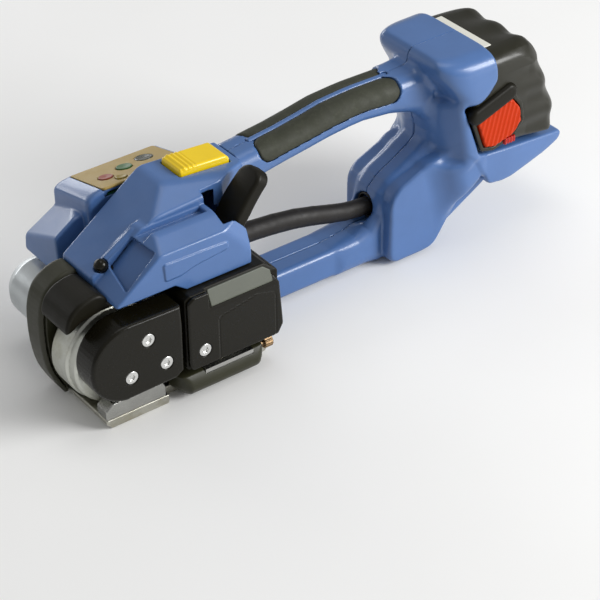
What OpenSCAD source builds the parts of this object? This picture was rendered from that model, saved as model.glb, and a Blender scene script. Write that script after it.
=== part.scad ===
// Battery strapping tool: tensions plastic strap, friction-welds it and cuts it off.
// +X runs from the strapping head to the battery, -Y is the side the strap is slid in
// from, +Z is up, and the tool stands on Z = 0. "near" below means the -Y side.

/* [Head] */
// Near face of the head housing, from the handle's centre plane
head_near = 56; // [54:1:57]
// Far face of the keypad box, from the handle's centre plane
head_far = 58; // [54:1:62]
// Height of the hump under the tension button
hump_top = 126; // [124:1:128]
// Wall thickness of the moulded housings
wall = 2.5; // [2:0.5:3]
/* [Tensioner] */
// Distance of the wheel axis in front of the origin
wheel_x = 168; // [167:1:168]
// Height of the wheel axis
wheel_z = 40; // [39:1:41]
// Tension wheel radius over its teeth
wheel_r = 21.6; // [21:0.1:21.6]
// Outer radius of the gear drum
drum_r = 33; // [32:0.5:33]
// Distance of the rocker pivot in front of the origin
pivot_x = 112; // [110:1:114]
// Height of the rocker pivot
pivot_z = 52; // [50:1:54]
// Radius of the wheel shaft
shaft_r = 5; // [4:0.5:5]
/* [Strap] */
// Top of the steel base plate
plate_top = 6.6; // [5:0.2:6.6]
// Height of the table that the strap lies on
strap_z = 18; // [17:0.5:18]
// Height of the slot above the strap table
slot_h = 4.8; // [4.2:0.1:4.8]
// Widest strap the slot takes
strap_w = 16; // [13:1:16]
/* [Handle] */
// Width of the handle grip
grip_w = 32; // [28:1:34]
// Width of the lower arm
arm_w = 29; // [26:1:30]
// Diameter of the cable sleeve
sleeve_d = 14; // [12:1:14]
/* [Battery] */
// Width of the battery pack
pack_w = 78; // [72:1:80]
// Width of the hood round the battery
hood_w = 84; // [84:1:88]

/* [Hidden] */
$fn = 48;

blue = [0.30, 0.42, 0.72];
black = [0.12, 0.12, 0.12];
silver = [0.75, 0.76, 0.74];
steel = [0.6, 0.6, 0.58];

seam_x = -54;          // where the handle shells meet the head covers
seam_y = 13.9;         // where the two head covers meet
rear_wall = -76;       // rear face of the head
split_z = 80;          // lower edge of the blue head on the near side
near_edge = 66;        // outermost near face of the tool
foot_near = 58;        // near edge of the foot under the tension wheel
centre_shift = 4;      // moves the handle's plane so that the whole tool is centred
weld_front = -138.5;   // front and rear faces of the welding unit
weld_rear = -62;
anvil_x = -100;        // middle of the weld
motor_x = -94;         // weld motor axis
motor_z = 62;
ecc_z = 36;            // eccentric shaft height
lever_x = -100;        // rocker lever hinge
lever_z = 84;
gear_module = 1;
ring_teeth = 48;
planet_teeth = 18;
sun_teeth = 12;
planet_orbit = (sun_teeth + planet_teeth) * gear_module / 2;
keypad_tilt = 15;
pin_r = 4;

// ---- helpers -------------------------------------------------------------
// Side profile in X and Z, extruded from y0 to y1
module side(points, y0, y1) {
    translate([0, y1, 0]) rotate([90, 0, 0]) linear_extrude(y1 - y0) polygon(points);
}

// Round bar along Y
module bar_y(x, z, r, y0, y1) {
    translate([x, y1, z]) rotate([90, 0, 0]) cylinder(r = r, h = y1 - y0);
}

// Spur gear with straight-sided teeth; clearance thins each flank
module gear_2d(teeth, clearance = 0.16) {
    pitch_r = teeth * gear_module / 2;
    root_r = pitch_r - 1.2 * gear_module;
    tip_r = pitch_r + 0.85 * gear_module;
    step = 360 / teeth;
    circle(r = root_r);
    for (i = [0 : teeth - 1]) rotate(i * step) polygon([
        for (s = [-1, 1]) for (k = [0, 1, 2])
            let (j = s < 0 ? k : 2 - k,
                 r = [root_r - 0.3, pitch_r, tip_r][j],
                 half = [0.30, 0.245, 0.12][j] * step - clearance / pitch_r * 57.3 / 2)
            [r * cos(s * half), r * sin(s * half)]]);
}

// Internal gear: the same tooth space cut out of a ring
module ring_2d(teeth, outer_r) {
    pitch_r = teeth * gear_module / 2;
    tip_r = pitch_r - 0.85 * gear_module;
    root_r = pitch_r + 1.2 * gear_module;
    step = 360 / teeth;
    difference() {
        circle(r = outer_r);
        circle(r = tip_r);
        for (i = [0 : teeth - 1]) rotate((i + 0.5) * step) polygon([
            for (s = [-1, 1]) for (k = [0, 1, 2])
                let (j = s < 0 ? k : 2 - k,
                     r = [tip_r - 0.6, pitch_r, root_r][j],
                     half = [0.37, 0.265, 0.16][j] * step)
                [r * cos(s * half), r * sin(s * half)]]);
    }
}

// Round bar along Y cut as a gear
module gear_y(x, z, teeth, y0, y1, turn, bore_r) {
    translate([x, y1, z]) rotate([90, 0, 0]) difference() {
        linear_extrude(y1 - y0) rotate(turn) gear_2d(teeth);
        translate([0, 0, -1]) cylinder(r = bore_r, h = y1 - y0 + 2);
    }
}

// Countersunk screw seen from the near side, head face at y
module screw_near(x, y, z, r, length) {
    difference() {
        union() {
            bar_y(x, z, r, y, y + 1.6);
            bar_y(x, z, r * 0.5, y + 1.5, y + length);
        }
        translate([x, y + 1.2, z]) rotate([90, 0, 0]) cylinder(r = r * 0.42, h = 2, $fn = 6);
    }
}

module centred() {
    translate([0, centre_shift, 0]) children();
}

// ---- head housing --------------------------------------------------------
function near_profile(top, w) = [
    [-170 + w, split_z - 6 * min(w, 1)], [-169 + w, 88 - w / 2], [-140 + w / 2, top - w],
    [rear_wall - w, top - w], [rear_wall - w, split_z - 3 - 6 * min(w, 1)]];

function hump_profile(w) = [
    [-170 + w, 84 - 9 * min(w, 1)], [-174 + w, 92.5 - w / 2], [-113 + w / 2, hump_top - w],
    [seam_x + w, hump_top - 4 - w], [seam_x + w, 99 + w], [rear_wall - w, 86 + w * 0.6],
    [rear_wall - w, 66 - 9 * min(w, 1)], [-140 + w, 66 - 9 * min(w, 1)],
    [-150 + w, 84 - 9 * min(w, 1)]];

// Lower shroud round the weld motor and the cable port
function shroud_profile(w) = [
    [-143 + w, 60 - 26 * min(w, 1)], [-143 + w, 68 + w], [rear_wall - w, 68 + w],
    [rear_wall - w, 34.3 - 9 * min(w, 1)], [-120 + w, 34.3 - 9 * min(w, 1)]];

module cable_port() {
    translate([rear_wall - 5, -1, 58]) rotate([0, 90, 0]) cylinder(r = sleeve_d / 2 + 2.4, h = 8);
}

module near_block(w) {
    hull() {
        side(near_profile(106, w), -head_near + w, -head_near + w + 1);
        side(near_profile(118, w), -25, -24);
    }
}

module keypad_block(w) {
    hull() {
        side([[-148 + w, 67 + w], [-148 + w, 101 - w], [-138, 106 - w], [-71 - w, 106 - w],
              [-71 - w, 67 + w]], head_far - 1 - w, head_far - w);
        side([[-148 + w, 67 + w], [-148 + w, 112 - w], [-138, 117.5 - w], [-71 - w, 117.5 - w],
              [-71 - w, 67 + w]], seam_y + w, seam_y + w + 0.5);
    }
}

module nose_block(w) {
    side([[-169 + w, 67 + w], [-169 + w, 75.5 - w / 2], [-147, 89.5 - w], [-147, 67 + w]],
         17 + w, head_far - w);
}

// Way for the wires from the hump into the keypad box
module wire_window() {
    translate([-136, 10, 84]) cube([56, 8, 14]);
}

module head_left_cover() {
    color(blue) difference() {
        union() {
            difference() {
                union() {
                    near_block(0);
                    side(hump_profile(0), -24.01, seam_y);
                    side(shroud_profile(0), -12.2, seam_y);
                }
                near_block(wall);
                side(hump_profile(wall), -24.5, seam_y - wall);
                side(shroud_profile(wall), -13, seam_y - wall);
            }
            // rib that carries the inner end of the lever pin
            side([[-106, 78], [-106, 116.8], [-94, 116.8], [-94, 78]], -26.9, -24.5);
        }
        bar_y(lever_x, lever_z, pin_r - 1, -27, -24);
        // slot for the rocker lever, open to the rear
        translate([-93, -51, 92]) cube([30, 24.5, 40]);
        translate([-80, -51, 84]) cube([10, 24.5, 10]);
        cable_port();
        // opening for the tension button
        translate([-98, -13, 110]) cube([38, 22.5, 30]);
        wire_window();
        // seat of the cap plug
        translate(plug_spot) rotate([0, -50, 0]) cylinder(r = 4.35, h = 30, center = true);
    }
}

module head_right_cover() {
    color(blue) difference() {
        union() {
            keypad_block(0);
            nose_block(0);
        }
        keypad_block(wall);
        nose_block(wall);
        translate([-150 + wall, 17 + wall, 67 + wall]) cube([10, 38, 16]);
        // window for the keypad panel
        keypad_frame() translate([-31.2, -21.2, -4]) cube([62.4, 42.4, 8]);
        wire_window();
    }
}

// Frame of the sloping keypad: X along the box, Y up the slope
module keypad_frame() {
    translate([-105, 35.5, 111.72]) rotate([-keypad_tilt, 0, 0]) children();
}

module keypad_panel() {
    color([0.78, 0.74, 0.5]) keypad_frame() difference() {
        translate([-31, -21, -1.6]) cube([62, 42, 1.6]);
        for (spot = [[-2, 2, 5.6], [-19, -4, 5.1], [-13, -13, 4.1]])
            translate([spot[0], spot[1], -3]) cylinder(r = spot[2], h = 5);
        translate([15, 6, -3]) cylinder(r = 6.1, h = 5);
    }
}

module keypad_disc(x, y, r, z0, z1) {
    keypad_frame() translate([x, y, z0]) cylinder(r = r, h = z1 - z0);
}

module display_window() {
    color([0.2, 0.23, 0.12]) keypad_disc(15, 6, 6, -1.6, 0.3);
}

module weld_button() {
    color([0.1, 0.5, 0.15]) keypad_disc(-2, 2, 5.2, -1.2, 0.8);
}

module mode_button() {
    color([0.75, 0.2, 0.1]) keypad_disc(-19, -4, 4.7, -1.2, 0.8);
}

module set_button() {
    color([0.75, 0.65, 0.1]) keypad_disc(-13, -13, 3.7, -1.2, 0.8);
}

module control_board() {
    color([0.1, 0.35, 0.15]) keypad_frame() union() {
        translate([-30, -18, -6.4]) cube([60, 36, 1.6]);
        for (spot = [[-2, 2], [-19, -4], [-13, -13]])
            translate([spot[0], spot[1], -4.9]) cylinder(r = 2.2, h = 2.4);
    }
}

module tension_button() {
    color([0.97, 0.82, 0.05]) difference() {
        side([[-97.5, 112], [-97.5, 128.5], [-95, 130.5], [-63, 128], [-60.5, 125],
              [-60.5, 112]], -12.5, 9);
        translate([-95, -10, 109]) cube([32, 16.5, 16]);
    }
}

plug_spot = [-167, -27.5, 93.2];

module cap_plug() {
    color(black) translate(plug_spot) rotate([0, -50, 0]) union() {
        sphere(r = 4.3);
        translate([0, 0, -8]) cylinder(r = 3, h = 7);
    }
}

// ---- handle, arm and battery carrier -------------------------------------
grip_top = [[seam_x, 122], [-36, 125], [-19, 127], [0, 130], [20, 133], [44, 135], [72, 135.5]];
grip_low = [[71, 110], [50, 112], [26, 110.5], [0, 107], [-19, 104.5], [-36, 101.5], [seam_x, 99]];
loop_profile = concat([[70, 136], [88, 140], [104, 128], [112, 111], [125, 75], [118, 26],
    [106, 18], [99, 1.5], [94, 0], [56, 0], [44, 4.5], [rear_wall, 3], [rear_wall, 24],
    [30, 24.5], [44, 28], [50, 36], [56, 50], [66, 59], [88, 72], [97, 84], [95, 96],
    [86, 106]], grip_low, grip_top);
loop_inner = concat([[72, 132.5], [86, 136.5], [101, 126], [109, 110], [121, 75], [115, 29],
    [104, 20.5], [97, 4], [93, 2.6], [57, 2.6], [45, 7], [rear_wall + 2.5, 5.5],
    [rear_wall + 2.5, 21.5], [31, 22], [46, 26], [52.5, 35], [58, 48.5], [67.5, 56.5],
    [90, 70], [100, 83.5], [98, 98], [88, 109]],
    [for (p = grip_low) [p[0] + (p[0] == seam_x ? 2.5 : 0), p[1] + 2.6]],
    [for (p = grip_top) [p[0] + (p[0] == seam_x ? 2.5 : 0), p[1] - 2.6]]);

// Rear tray that cups the battery from below, between two planes across Y
module tray(y0, y1) {
    intersection() {
        union() {
            hull() {
                side([[126, 72], [154, 68], [150, 41], [134, 44]], -38, 38);
                side([[193, 61], [202.5, 60], [203.5, 58], [201, 53], [190, 49]], -32.5, 32.5);
            }
            hull() {
                side([[99, 2], [104.5, 19], [135, 29], [128, 70], [96, 66]], -19, 19);
                side([[114, 70], [128, 70], [134, 50], [116, 42]], -36, 36);
            }
            hull() {
                side([[58, 6], [60, 50], [96, 72], [118, 74], [112, 24], [99, 2]], -23, 23);
                side([[112, 70], [124, 74], [122, 50], [110, 44]], -38, 38);
            }
            // cheeks that flare from the pillar to the full width of the battery
            hull() {
                side([[97, 109], [108.5, 111.5], [124, 76], [101, 68]], -16, 16);
                side([[104, 112], [108.5, 111.5], [123.5, 76], [116, 68]], -37.5, 37.5);
            }
        }
        translate([50, y0, 0]) cube([170, y1 - y0, 120]);
    }
}

// Hood over the front of the battery, moulded in halves with the two shells
module hood() {
    difference() {
        hull() {
            side([[89, 140], [93, 147], [131, 147], [133, 128], [122, 116], [111, 112],
                  [104, 124]], -hood_w / 2 + 8, hood_w / 2 - 8);
            side([[92, 138], [97, 143], [128, 143], [131, 128], [120, 117], [111, 113],
                  [104, 124]], -hood_w / 2, hood_w / 2);
        }
        hull() {
            side([[100, 128], [104, 143.4], [140, 143.4], [140, 100], [116, 90]],
                 -pack_w / 2 + 6, pack_w / 2 - 6);
            side([[102, 126], [108, 138], [140, 138], [140, 100], [116, 90]],
                 -pack_w / 2 - 1, pack_w / 2 + 1);
        }
    }
}

boss_spots = [[-62, 14], [20, 14], [84, 30], [80, 56]];

module handle_half(sign) {
    y0 = min(0, sign * grip_w / 2);
    y1 = max(0, sign * grip_w / 2);
    color(blue) difference() {
        union() {
            difference() {
                union() {
                    side(loop_profile, y0, y1);
                    tray(min(0, sign * 60), max(0, sign * 60));
                }
                // hollow of the grip, pillar and arm
                side(loop_inner, sign < 0 ? y0 + wall : -1, sign < 0 ? 1 : y1 - wall);
                side([[64, 10], [66, 46], [98, 67], [112, 70], [106, 28], [97, 9]],
                     sign < 0 ? -22 : -1, sign < 0 ? 1 : 22);
            }
            for (p = boss_spots)
                bar_y(p[0], p[1], 4.2, min(0, sign * 13), max(0, sign * 13));
            intersection() {
                hood();
                translate([60, min(0, sign * 60), 80]) cube([90, 60, 80]);
            }
        }
        // the arm is narrower than the grip
        for (s = [-1, 1]) translate([rear_wall - 1, s > 0 ? arm_w / 2 : -arm_w / 2 - 20, -1])
            cube([106, 20, 40]);
        // battery bay above the tray
        side([[109.5, 112], [126, 71], [212, 71], [212, 112]], -60, 60);
        hull() {
            side([[128, 69], [128, 72], [212, 72], [200, 66]], -pack_w / 2 - 1, pack_w / 2 + 1);
        }
        // recess of the rubber grip
        grip_pad(sign, 0.05);
        // cable entry in the pillar's front face
        translate([44, 0, 41.6]) rotate([0, 90, 0]) cylinder(r = sleeve_d / 2 + 2.6, h = 17);
        // window of the battery contacts
        translate([108, -12, 93]) cube([10, 24, 10]);
        for (p = boss_spots) bar_y(p[0], p[1], 2.05, -10.1, 10.1);
    }
}

module handle_left_shell() { handle_half(-1); }

module handle_right_shell() { handle_half(1); }

// Inlaid rubber pad wrapping the outer upper side of the grip
module grip_pad(sign, grow) {
    outer = sign * (grip_w / 2 + 0.4 + grow * 20);
    inner = sign * (grip_w / 2 - 1.6 - grow);
    side([[-38 - grow, 118], [-34, 113 - grow], [-19, 113.5 - grow], [0, 115.5 - grow],
          [26, 119 - grow], [50, 120.5 - grow], [62, 121 - grow], [68 + grow, 126],
          [64, 132.5 + grow], [44, 132.5 + grow], [20, 130.5 + grow], [0, 127.5 + grow],
          [-19, 124.6 + grow], [-33, 122.6 + grow]], min(outer, inner), max(outer, inner));
}

module left_grip() { color(black) grip_pad(-1, 0); }

module right_grip() { color(black) grip_pad(1, 0); }

sleeve_route = [[-79.2, 58, -1], [-68, 57, -1], [-54, 56, -0.5], [-38, 55.2, 0], [-20, 54.6, 0],
    [-3, 52, 0], [12, 48.6, 0], [26, 45, 0], [38, 42.6, 0], [50, 41.6, 0], [58, 42, 0]];

// Tube swept along the sleeve's route; every ring stands square to the route
module cable_sleeve() {
    sides = 12;
    n = len(sleeve_route);
    function slope(i) = let (a = sleeve_route[max(i - 1, 0)], b = sleeve_route[min(i + 1, n - 1)])
        atan2(b[1] - a[1], b[0] - a[0]);
    function ring(i) = [for (k = [0 : sides - 1])
        let (p = sleeve_route[i], t = slope(i), u = 360 * k / sides, r = sleeve_d / 2)
        [p[0] - r * cos(u) * sin(t), p[2] + r * sin(u), p[1] + r * cos(u) * cos(t)]];
    color(black) polyhedron(
        points = [for (i = [0 : n - 1]) each ring(i)],
        faces = concat(
            [[for (k = [0 : sides - 1]) k]],
            [for (i = [0 : n - 2]) for (k = [0 : sides - 1])
                [i * sides + k, i * sides + sides + k,
                 i * sides + sides + (k + 1) % sides, i * sides + (k + 1) % sides]],
            [[for (k = [sides - 1 : -1 : 0]) (n - 1) * sides + k]]));
}

module cable_bushes() {
    color(black) for (end = [[-79.5, 58, -1, 90], [51, 41.6, 0, 90]])
        translate([end[0], end[2], end[1]]) rotate([0, end[3], 0]) difference() {
            cylinder(r = sleeve_d / 2 + 2.4, h = 4);
            translate([0, 0, -1]) cylinder(r = sleeve_d / 2 + 0.6, h = 6);
        }
}

module handle_screws() {
    color(steel) for (p = boss_spots) bar_y(p[0], p[1], 2, -10, 10);
}

// ---- battery --------------------------------------------------------------
pack_profile = [[107, 124], [110, 138], [115, 142.6], [166, 142.6], [175, 134], [194, 84],
    [192, 75], [187, 72.6], [129, 72.6], [123.6, 84], [113.4, 112]];

module battery_case() {
    color(black) difference() {
        hull() {
            side(pack_profile, -pack_w / 2 + 7, pack_w / 2 - 7);
            side([[109, 124], [112, 134], [117, 137], [162, 137], [170, 130], [189, 84],
                  [187, 77], [131, 76], [125, 86], [115, 112]], -pack_w / 2, pack_w / 2);
        }
        // cell bay
        side([[118, 112], [120, 136], [160, 136], [166, 128], [180, 84], [178, 78], [134, 78]],
             -pack_w / 2 + 7.5, pack_w / 2 - 7.5);
        // seats of the two release buttons
        for (s = [-1, 1]) translate([0, s * (pack_w / 2 + 1.5), 0]) release_shape(0.35, 12);
        // sockets of the contacts
        for (y = [-8, 0, 8]) translate([110, y - 1.5, 94.3]) cube([14, 3, 7.4]);
        // seat of the label and the latch tab
        translate([133.8, -24.2, 141.8]) cube([7.4, 51.4, 3]);
        translate([141.6, -pack_w / 2 - 1, 73]) cube([11, 5.4, 5.4]);
    }
}

module battery_label() {
    color([0.9, 0.9, 0.88]) translate([134, -24, 141.9]) cube([7, 51, 0.9]);
}

module battery_cells() {
    color([0.2, 0.4, 0.3]) for (row = [-1, 0, 1]) for (col = [0, 1])
        translate([146 + col * 1, row * 21, 90.8 + col * 28]) rotate([0, 90, 0])
            cylinder(r = 10, h = 26, center = true);
}

// Button outline on the pack's side; deep is its thickness along Y
module release_shape(grow, deep) {
    side([[117.5 - grow, 99], [121, 101.5 + grow], [147, 107.5 + grow], [154 + grow, 99],
          [156 + grow, 88], [149, 80], [133, 76 - grow], [125 - grow, 78 - grow]],
         -deep / 2, deep / 2);
}

module near_release() {
    color([0.9, 0.3, 0.05]) translate([0, -pack_w / 2, 0]) release_shape(0, 5);
}

module far_release() {
    color([0.9, 0.3, 0.05]) translate([0, pack_w / 2, 0]) release_shape(0, 5);
}

module battery_lips() {
    color([0.25, 0.25, 0.25]) for (s = [-1, 1])
        side([[113, 110], [118, 104], [146, 111], [150, 116], [140, 118]],
             s > 0 ? pack_w / 2 : -pack_w / 2 - 2, s > 0 ? pack_w / 2 + 2 : -pack_w / 2);
}

module latch_tab() {
    color([0.8, 0.1, 0.1]) translate([142, -pack_w / 2 - 0.8, 73.4]) cube([10, 4.6, 4.6]);
}

module battery_contacts() {
    color([0.75, 0.6, 0.25]) union() {
        translate([109, -12, 93]) cube([6.2, 24, 10]);
        for (y = [-8, 0, 8]) translate([115.1, y - 1, 95]) cube([6.8, 2, 6]);
    }
}

// ---- frame, table and welding unit ----------------------------------------
module gear_frame() {
    color(silver) difference() {
        union() {
            side([[-146, plate_top], [-146, 30], [-128, 64], [-112, 65.6], [rear_wall, 65.6],
                  [rear_wall, plate_top]], -18.5, -12.5);
            side([[-110, plate_top], [-110, 30], [-100, 34], [rear_wall, 34],
                  [rear_wall, plate_top]], -12.6, 16);
        }
        bar_y(-pivot_x, pivot_z, pin_r, -19, -12);
        bar_y(motor_x, motor_z, 3.4, -19, -12);
    }
}

module base_plate() {
    color(steel) union() {
        side([[-187, 3.5], [-183.5, 0], [-142, 0], [-142, plate_top], [-187, plate_top]],
             -foot_near, 16);
        side([[-142.1, 0], [-78, 0], [-76.3, 2], [-76.3, plate_top], [-142.1, plate_top]],
             -50, 16);
        side([[-78.1, 0], [-64, 0], [-62, 2], [-62, plate_top], [-78.1, plate_top]], -50, -18);
    }
}

// Toothed plate under the tension wheel
module gripper_plate() {
    color(steel) difference() {
        side([[-187, plate_top], [-187, 14], [-182, strap_z], [-146, strap_z], [-144, 14],
              [-144, plate_top]], -foot_near, -46.5);
        for (x = [-181.5 : 3 : -149]) translate([x, -near_edge, strap_z - 0.5])
            rotate([0, 45, 0]) cube([1, 22, 1]);
    }
}

// Anvil that the strap is pressed against under the weld shoe
module weld_anvil() {
    color(steel) translate([anvil_x - 18, -near_edge + 2.5, 12.5]) cube([36, 13, strap_z - 12.5]);
}

// Rounded lower edge of the strap slot
module strap_guide() {
    color(black) difference() {
        hull() {
            translate([-130, -near_edge + 7.8, 10.8]) rotate([0, 90, 0]) cylinder(r = 7.6, h = 52);
            translate([-139, -near_edge + 15.2, 8.3]) cube([65, 0.4, strap_z - 8.3]);
            translate([-134, -near_edge + 4, 8.3]) cube([60, 2, strap_z - 8.3]);
        }
        translate([-150, -near_edge - 5, strap_z]) cube([90, 40, 10]);
        translate([anvil_x - 18, -near_edge + 2.5, 12.5]) cube([36, 13, 10]);
    }
}

module guide_knob() {
    color([0.5, 0.36, 0.2]) translate([-74, -56, 13]) rotate([0, 90, 0]) union() {
        cylinder(r = 2, h = 4);
        translate([0, 0, 3.9]) cylinder(r = 4, h = 6.6);
    }
}

// Band-shaped guard on the far side of the drum
module front_guard() {
    color(black) difference() {
        side([[-194, 10], [-200, 24], [-203, 40], [-203.5, 56], [-202, 70], [-196, 82],
              [-184, 89.5], [-175.5, 90], [-171.5, 83.5], [-146.6, 83.5],
              [-146.6, plate_top + 0.1], [-187.2, plate_top + 0.1], [-187.2, 3], [-190, 3]], -15, 4);
        bar_y(-wheel_x, wheel_z + 2, 24, -16, 5);
    }
}

// Black cover over the drum, between the guard and the wheel cover
module guard_hood() {
    color(black) side([[-203, 73], [-201, 80], [-194, 87], [-184, 89.5], [-176.5, 90], [-172, 83],
        [-171, 79.7], [-150, 79.2], [-150, 77.4], [-178, 77.4], [-192, 75], [-198, 71]],
        -45.7, -15);
}

module weld_housing() {
    color(black) difference() {
        union() {
            side([[weld_front, 24], [weld_front, 74], [-128, 76.3], [-70, 76], [weld_rear, 70],
                  [weld_rear, 24], [-66, strap_z + slot_h], [-137, strap_z + slot_h]],
                 -near_edge + 3, -47.5);
            side([[-133, 24], [-133, 74], [-128, 76.3], [-70, 76], [weld_rear, 70],
                  [weld_rear, 24], [-66, strap_z + slot_h], [-132, strap_z + slot_h]],
                 -47.6, -30);
            side([[-74, plate_top], [-74, 24], [weld_rear, 26], [weld_rear, plate_top]],
                 -49.5, -30);
        }
        // belt and shaft space, then the spaces of the shoe and the cutter
        translate([-126, -near_edge + 5.6, 28]) cube([60, 24, 44.5]);
        translate([anvil_x - 18.6, -near_edge + 2.9, 20]) cube([37.2, 18, 12]);
        translate([anvil_x + 19.4, -near_edge + 2.9, 20]) cube([4.4, 18, 12]);
        bar_y(motor_x, motor_z, 3.4, -40, -29);
        bar_y(anvil_x, ecc_z, shaft_r - 1, -42, -29);
    }
}

module weld_cover() {
    color(black) difference() {
        union() {
            side([[weld_front + 0.5, 30], [weld_front + 0.5, 74], [-130, 74], [-70, 73],
                  [-62.4, 60], [-60, 30], [-64, 23], [-136, 23]], -near_edge, -near_edge + 3);
        }
        translate([-119, -near_edge - 0.1, 35]) rotate([-90, 0, 0]) cylinder(r = 2.4, h = 5);
        bar_y(-119, 35, 4.6, -near_edge - 0.1, -near_edge + 1.6);
    }
}

module weld_screw() {
    color(steel) screw_near(-119, -near_edge, 35, 4.5, 2.9);
}

module weld_motor() {
    color(steel) difference() {
        union() {
            bar_y(motor_x, motor_z, 3.35, -39, -12.3);
            bar_y(motor_x, motor_z, 14, -12.4, 9);
        }
        bar_y(motor_x, motor_z, 2.45, -40, 6);
    }
}

module motor_pulley() {
    color(silver) union() {
        bar_y(motor_x, motor_z, 8, -50, -41);
        bar_y(motor_x, motor_z, 2.4, -41.1, 5);
    }
}

// Shaft with its pulley and the off-centre journal that shakes the weld shoe
module eccentric_shaft() {
    color(steel) union() {
        bar_y(anvil_x, ecc_z, shaft_r - 1.06, -41.2, -30);
        bar_y(anvil_x, ecc_z, 6, -50, -41.2);
        bar_y(anvil_x + 0.5, ecc_z, 3, -56, -49.9);
    }
}

module drive_belt() {
    color(black) difference() {
        hull() {
            bar_y(motor_x, motor_z, 9.9, -48, -43);
            bar_y(anvil_x, ecc_z, 7.9, -48, -43);
        }
        hull() {
            bar_y(motor_x, motor_z, 8.3, -49, -42);
            bar_y(anvil_x, ecc_z, 6.3, -49, -42);
        }
    }
}

module weld_shoe() {
    color(steel) union() {
        translate([anvil_x - 18, -near_edge + 3.5, 23]) cube([36, 15, 4]);
        translate([anvil_x - 14, -near_edge + 6, 26.9]) cube([28, 4, 3]);
    }
}

module cutter_blade() {
    color(silver) side([[anvil_x + 20, 23], [anvil_x + 23, 26], [anvil_x + 23, 31],
                        [anvil_x + 20, 31]], -near_edge + 3.5, -near_edge + 18.5);
}

module rocker_pin() {
    color(steel) bar_y(-pivot_x, pivot_z, pin_r - 0.05, -29.4, -11.5);
}

// ---- rocker with the tensioner ---------------------------------------------
module drum_casting() {
    color(silver) difference() {
        union() {
            bar_y(-wheel_x, wheel_z, drum_r, -46, -19);
            bar_y(-wheel_x, wheel_z, 19, -19.1, 6);
            side([[-150, 22], [-150, 66], [-116, 61], [-105, 58], [-104, 46], [-112, 42],
                  [-130, 28]], -28.5, -22);
        }
        // ring gear and planet space, then shaft, then motor spigot
        bar_y(-wheel_x, wheel_z, 29, -42, -25);
        bar_y(-wheel_x, wheel_z, 13, -46.5, -41.9);
        bar_y(-wheel_x, wheel_z, 9, -25.1, 7);
        bar_y(-pivot_x, pivot_z, pin_r, -29, -21);
    }
}

module wheel_cover() {
    color(black) difference() {
        hull() {
            bar_y(-172, 49, 25.6, -near_edge, -46.2);
            bar_y(-172.5, 49, 27, -near_edge + 3, -46.2);
            side([[-172, 75.6], [-142, 74.2], [-141, 60], [-140.6, 27], [-145, 23.2],
                  [-172, 23.2]], -near_edge, -46.2);
        }
        // pocket of the wheel, open below where the wheel meets the strap
        bar_y(-wheel_x, wheel_z, wheel_r + 2, -near_edge + 3, -46);
        translate([-wheel_x - 16, -near_edge + 3, 10]) cube([32, 30, 20]);
        for (p = cover_spots) {
            bar_y(p[0], p[1], 4.6, -near_edge - 1, -near_edge + 1.6);
            bar_y(p[0], p[1], 2.4, -near_edge - 1, -near_edge + 3.1);
        }
    }
}

cover_spots = [[-159, 60], [-147, 38], [-172, 38]];

module cover_screws() {
    color(silver) for (p = cover_spots) screw_near(p[0], -near_edge, p[1], 4.5, 2.9);
}

module gear_housing() {
    color(silver) difference() {
        union() {
            bar_y(-wheel_x, wheel_z, 20.6, 6, head_far - 4);
            bar_y(-wheel_x, wheel_z, 17, head_far - 4.1, head_far);
        }
        bar_y(-wheel_x, wheel_z, 17.6, 8, head_far - 6);
        bar_y(-wheel_x, wheel_z, 9, 5, 9);
    }
}

module tension_motor() {
    color(steel) union() {
        bar_y(-wheel_x, wheel_z, 17.5, 10, head_far - 6);
        bar_y(-wheel_x, wheel_z, 8, 8, 10.1);
    }
}

module ring_gear() {
    color(steel) translate([-wheel_x, -29, wheel_z]) rotate([90, 0, 0])
        linear_extrude(9) ring_2d(ring_teeth, 28.95);
}

module wheel_bearings() {
    color(silver) union() {
        difference() {
            bar_y(-wheel_x, wheel_z, 12.95, -46, -42.2);
            bar_y(-wheel_x, wheel_z, shaft_r + 0.05, -47, -41);
        }
        difference() {
            bar_y(-wheel_x, wheel_z, 9.4, -near_edge + 3, -near_edge + 5);
            bar_y(-wheel_x, wheel_z, shaft_r - 0.95, -near_edge, -near_edge + 6);
        }
    }
}

module tension_wheel() {
    teeth = 36;
    color(steel) translate([-wheel_x, -46.6, wheel_z]) rotate([90, 0, 0]) difference() {
        linear_extrude(strap_w - 2) difference() {
            circle(r = wheel_r, $fn = 96);
            for (i = [0 : teeth - 1]) rotate(i * 360 / teeth)
                translate([wheel_r, 0]) rotate(45) square(1, center = true);
        }
        translate([0, 0, -1]) cylinder(r = shaft_r, h = 30);
    }
}

// Planet carrier in one piece with the wheel shaft
module wheel_shaft() {
    color(steel) union() {
        bar_y(-wheel_x, wheel_z, shaft_r, -60.7, -41.5);
        bar_y(-wheel_x, wheel_z, shaft_r - 1, -near_edge + 3.2, -60.6);
        bar_y(-wheel_x, wheel_z, 20, -41.6, -38.2);
        for (i = [0 : 2]) translate([-wheel_x + planet_orbit * cos(i * 120), 0,
            wheel_z + planet_orbit * sin(i * 120)]) bar_y(0, 0, 2.4, -38.3, -29.2);
    }
}

module planet(i) {
    angle = i * 120;
    color(silver) gear_y(-wheel_x + planet_orbit * cos(angle),
                         wheel_z + planet_orbit * sin(angle),
                         planet_teeth, -37.8, -29.2, 180 / planet_teeth + angle, 2.45);
}

module planet_gear_1() { planet(0); }

module planet_gear_2() { planet(1); }

module planet_gear_3() { planet(2); }

module sun_gear() {
    color(steel) union() {
        gear_y(-wheel_x, wheel_z, sun_teeth, -37.6, -29.4, 0, 1.2);
        bar_y(-wheel_x, wheel_z, 3, -29.6, 7.6);
    }
}

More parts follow.
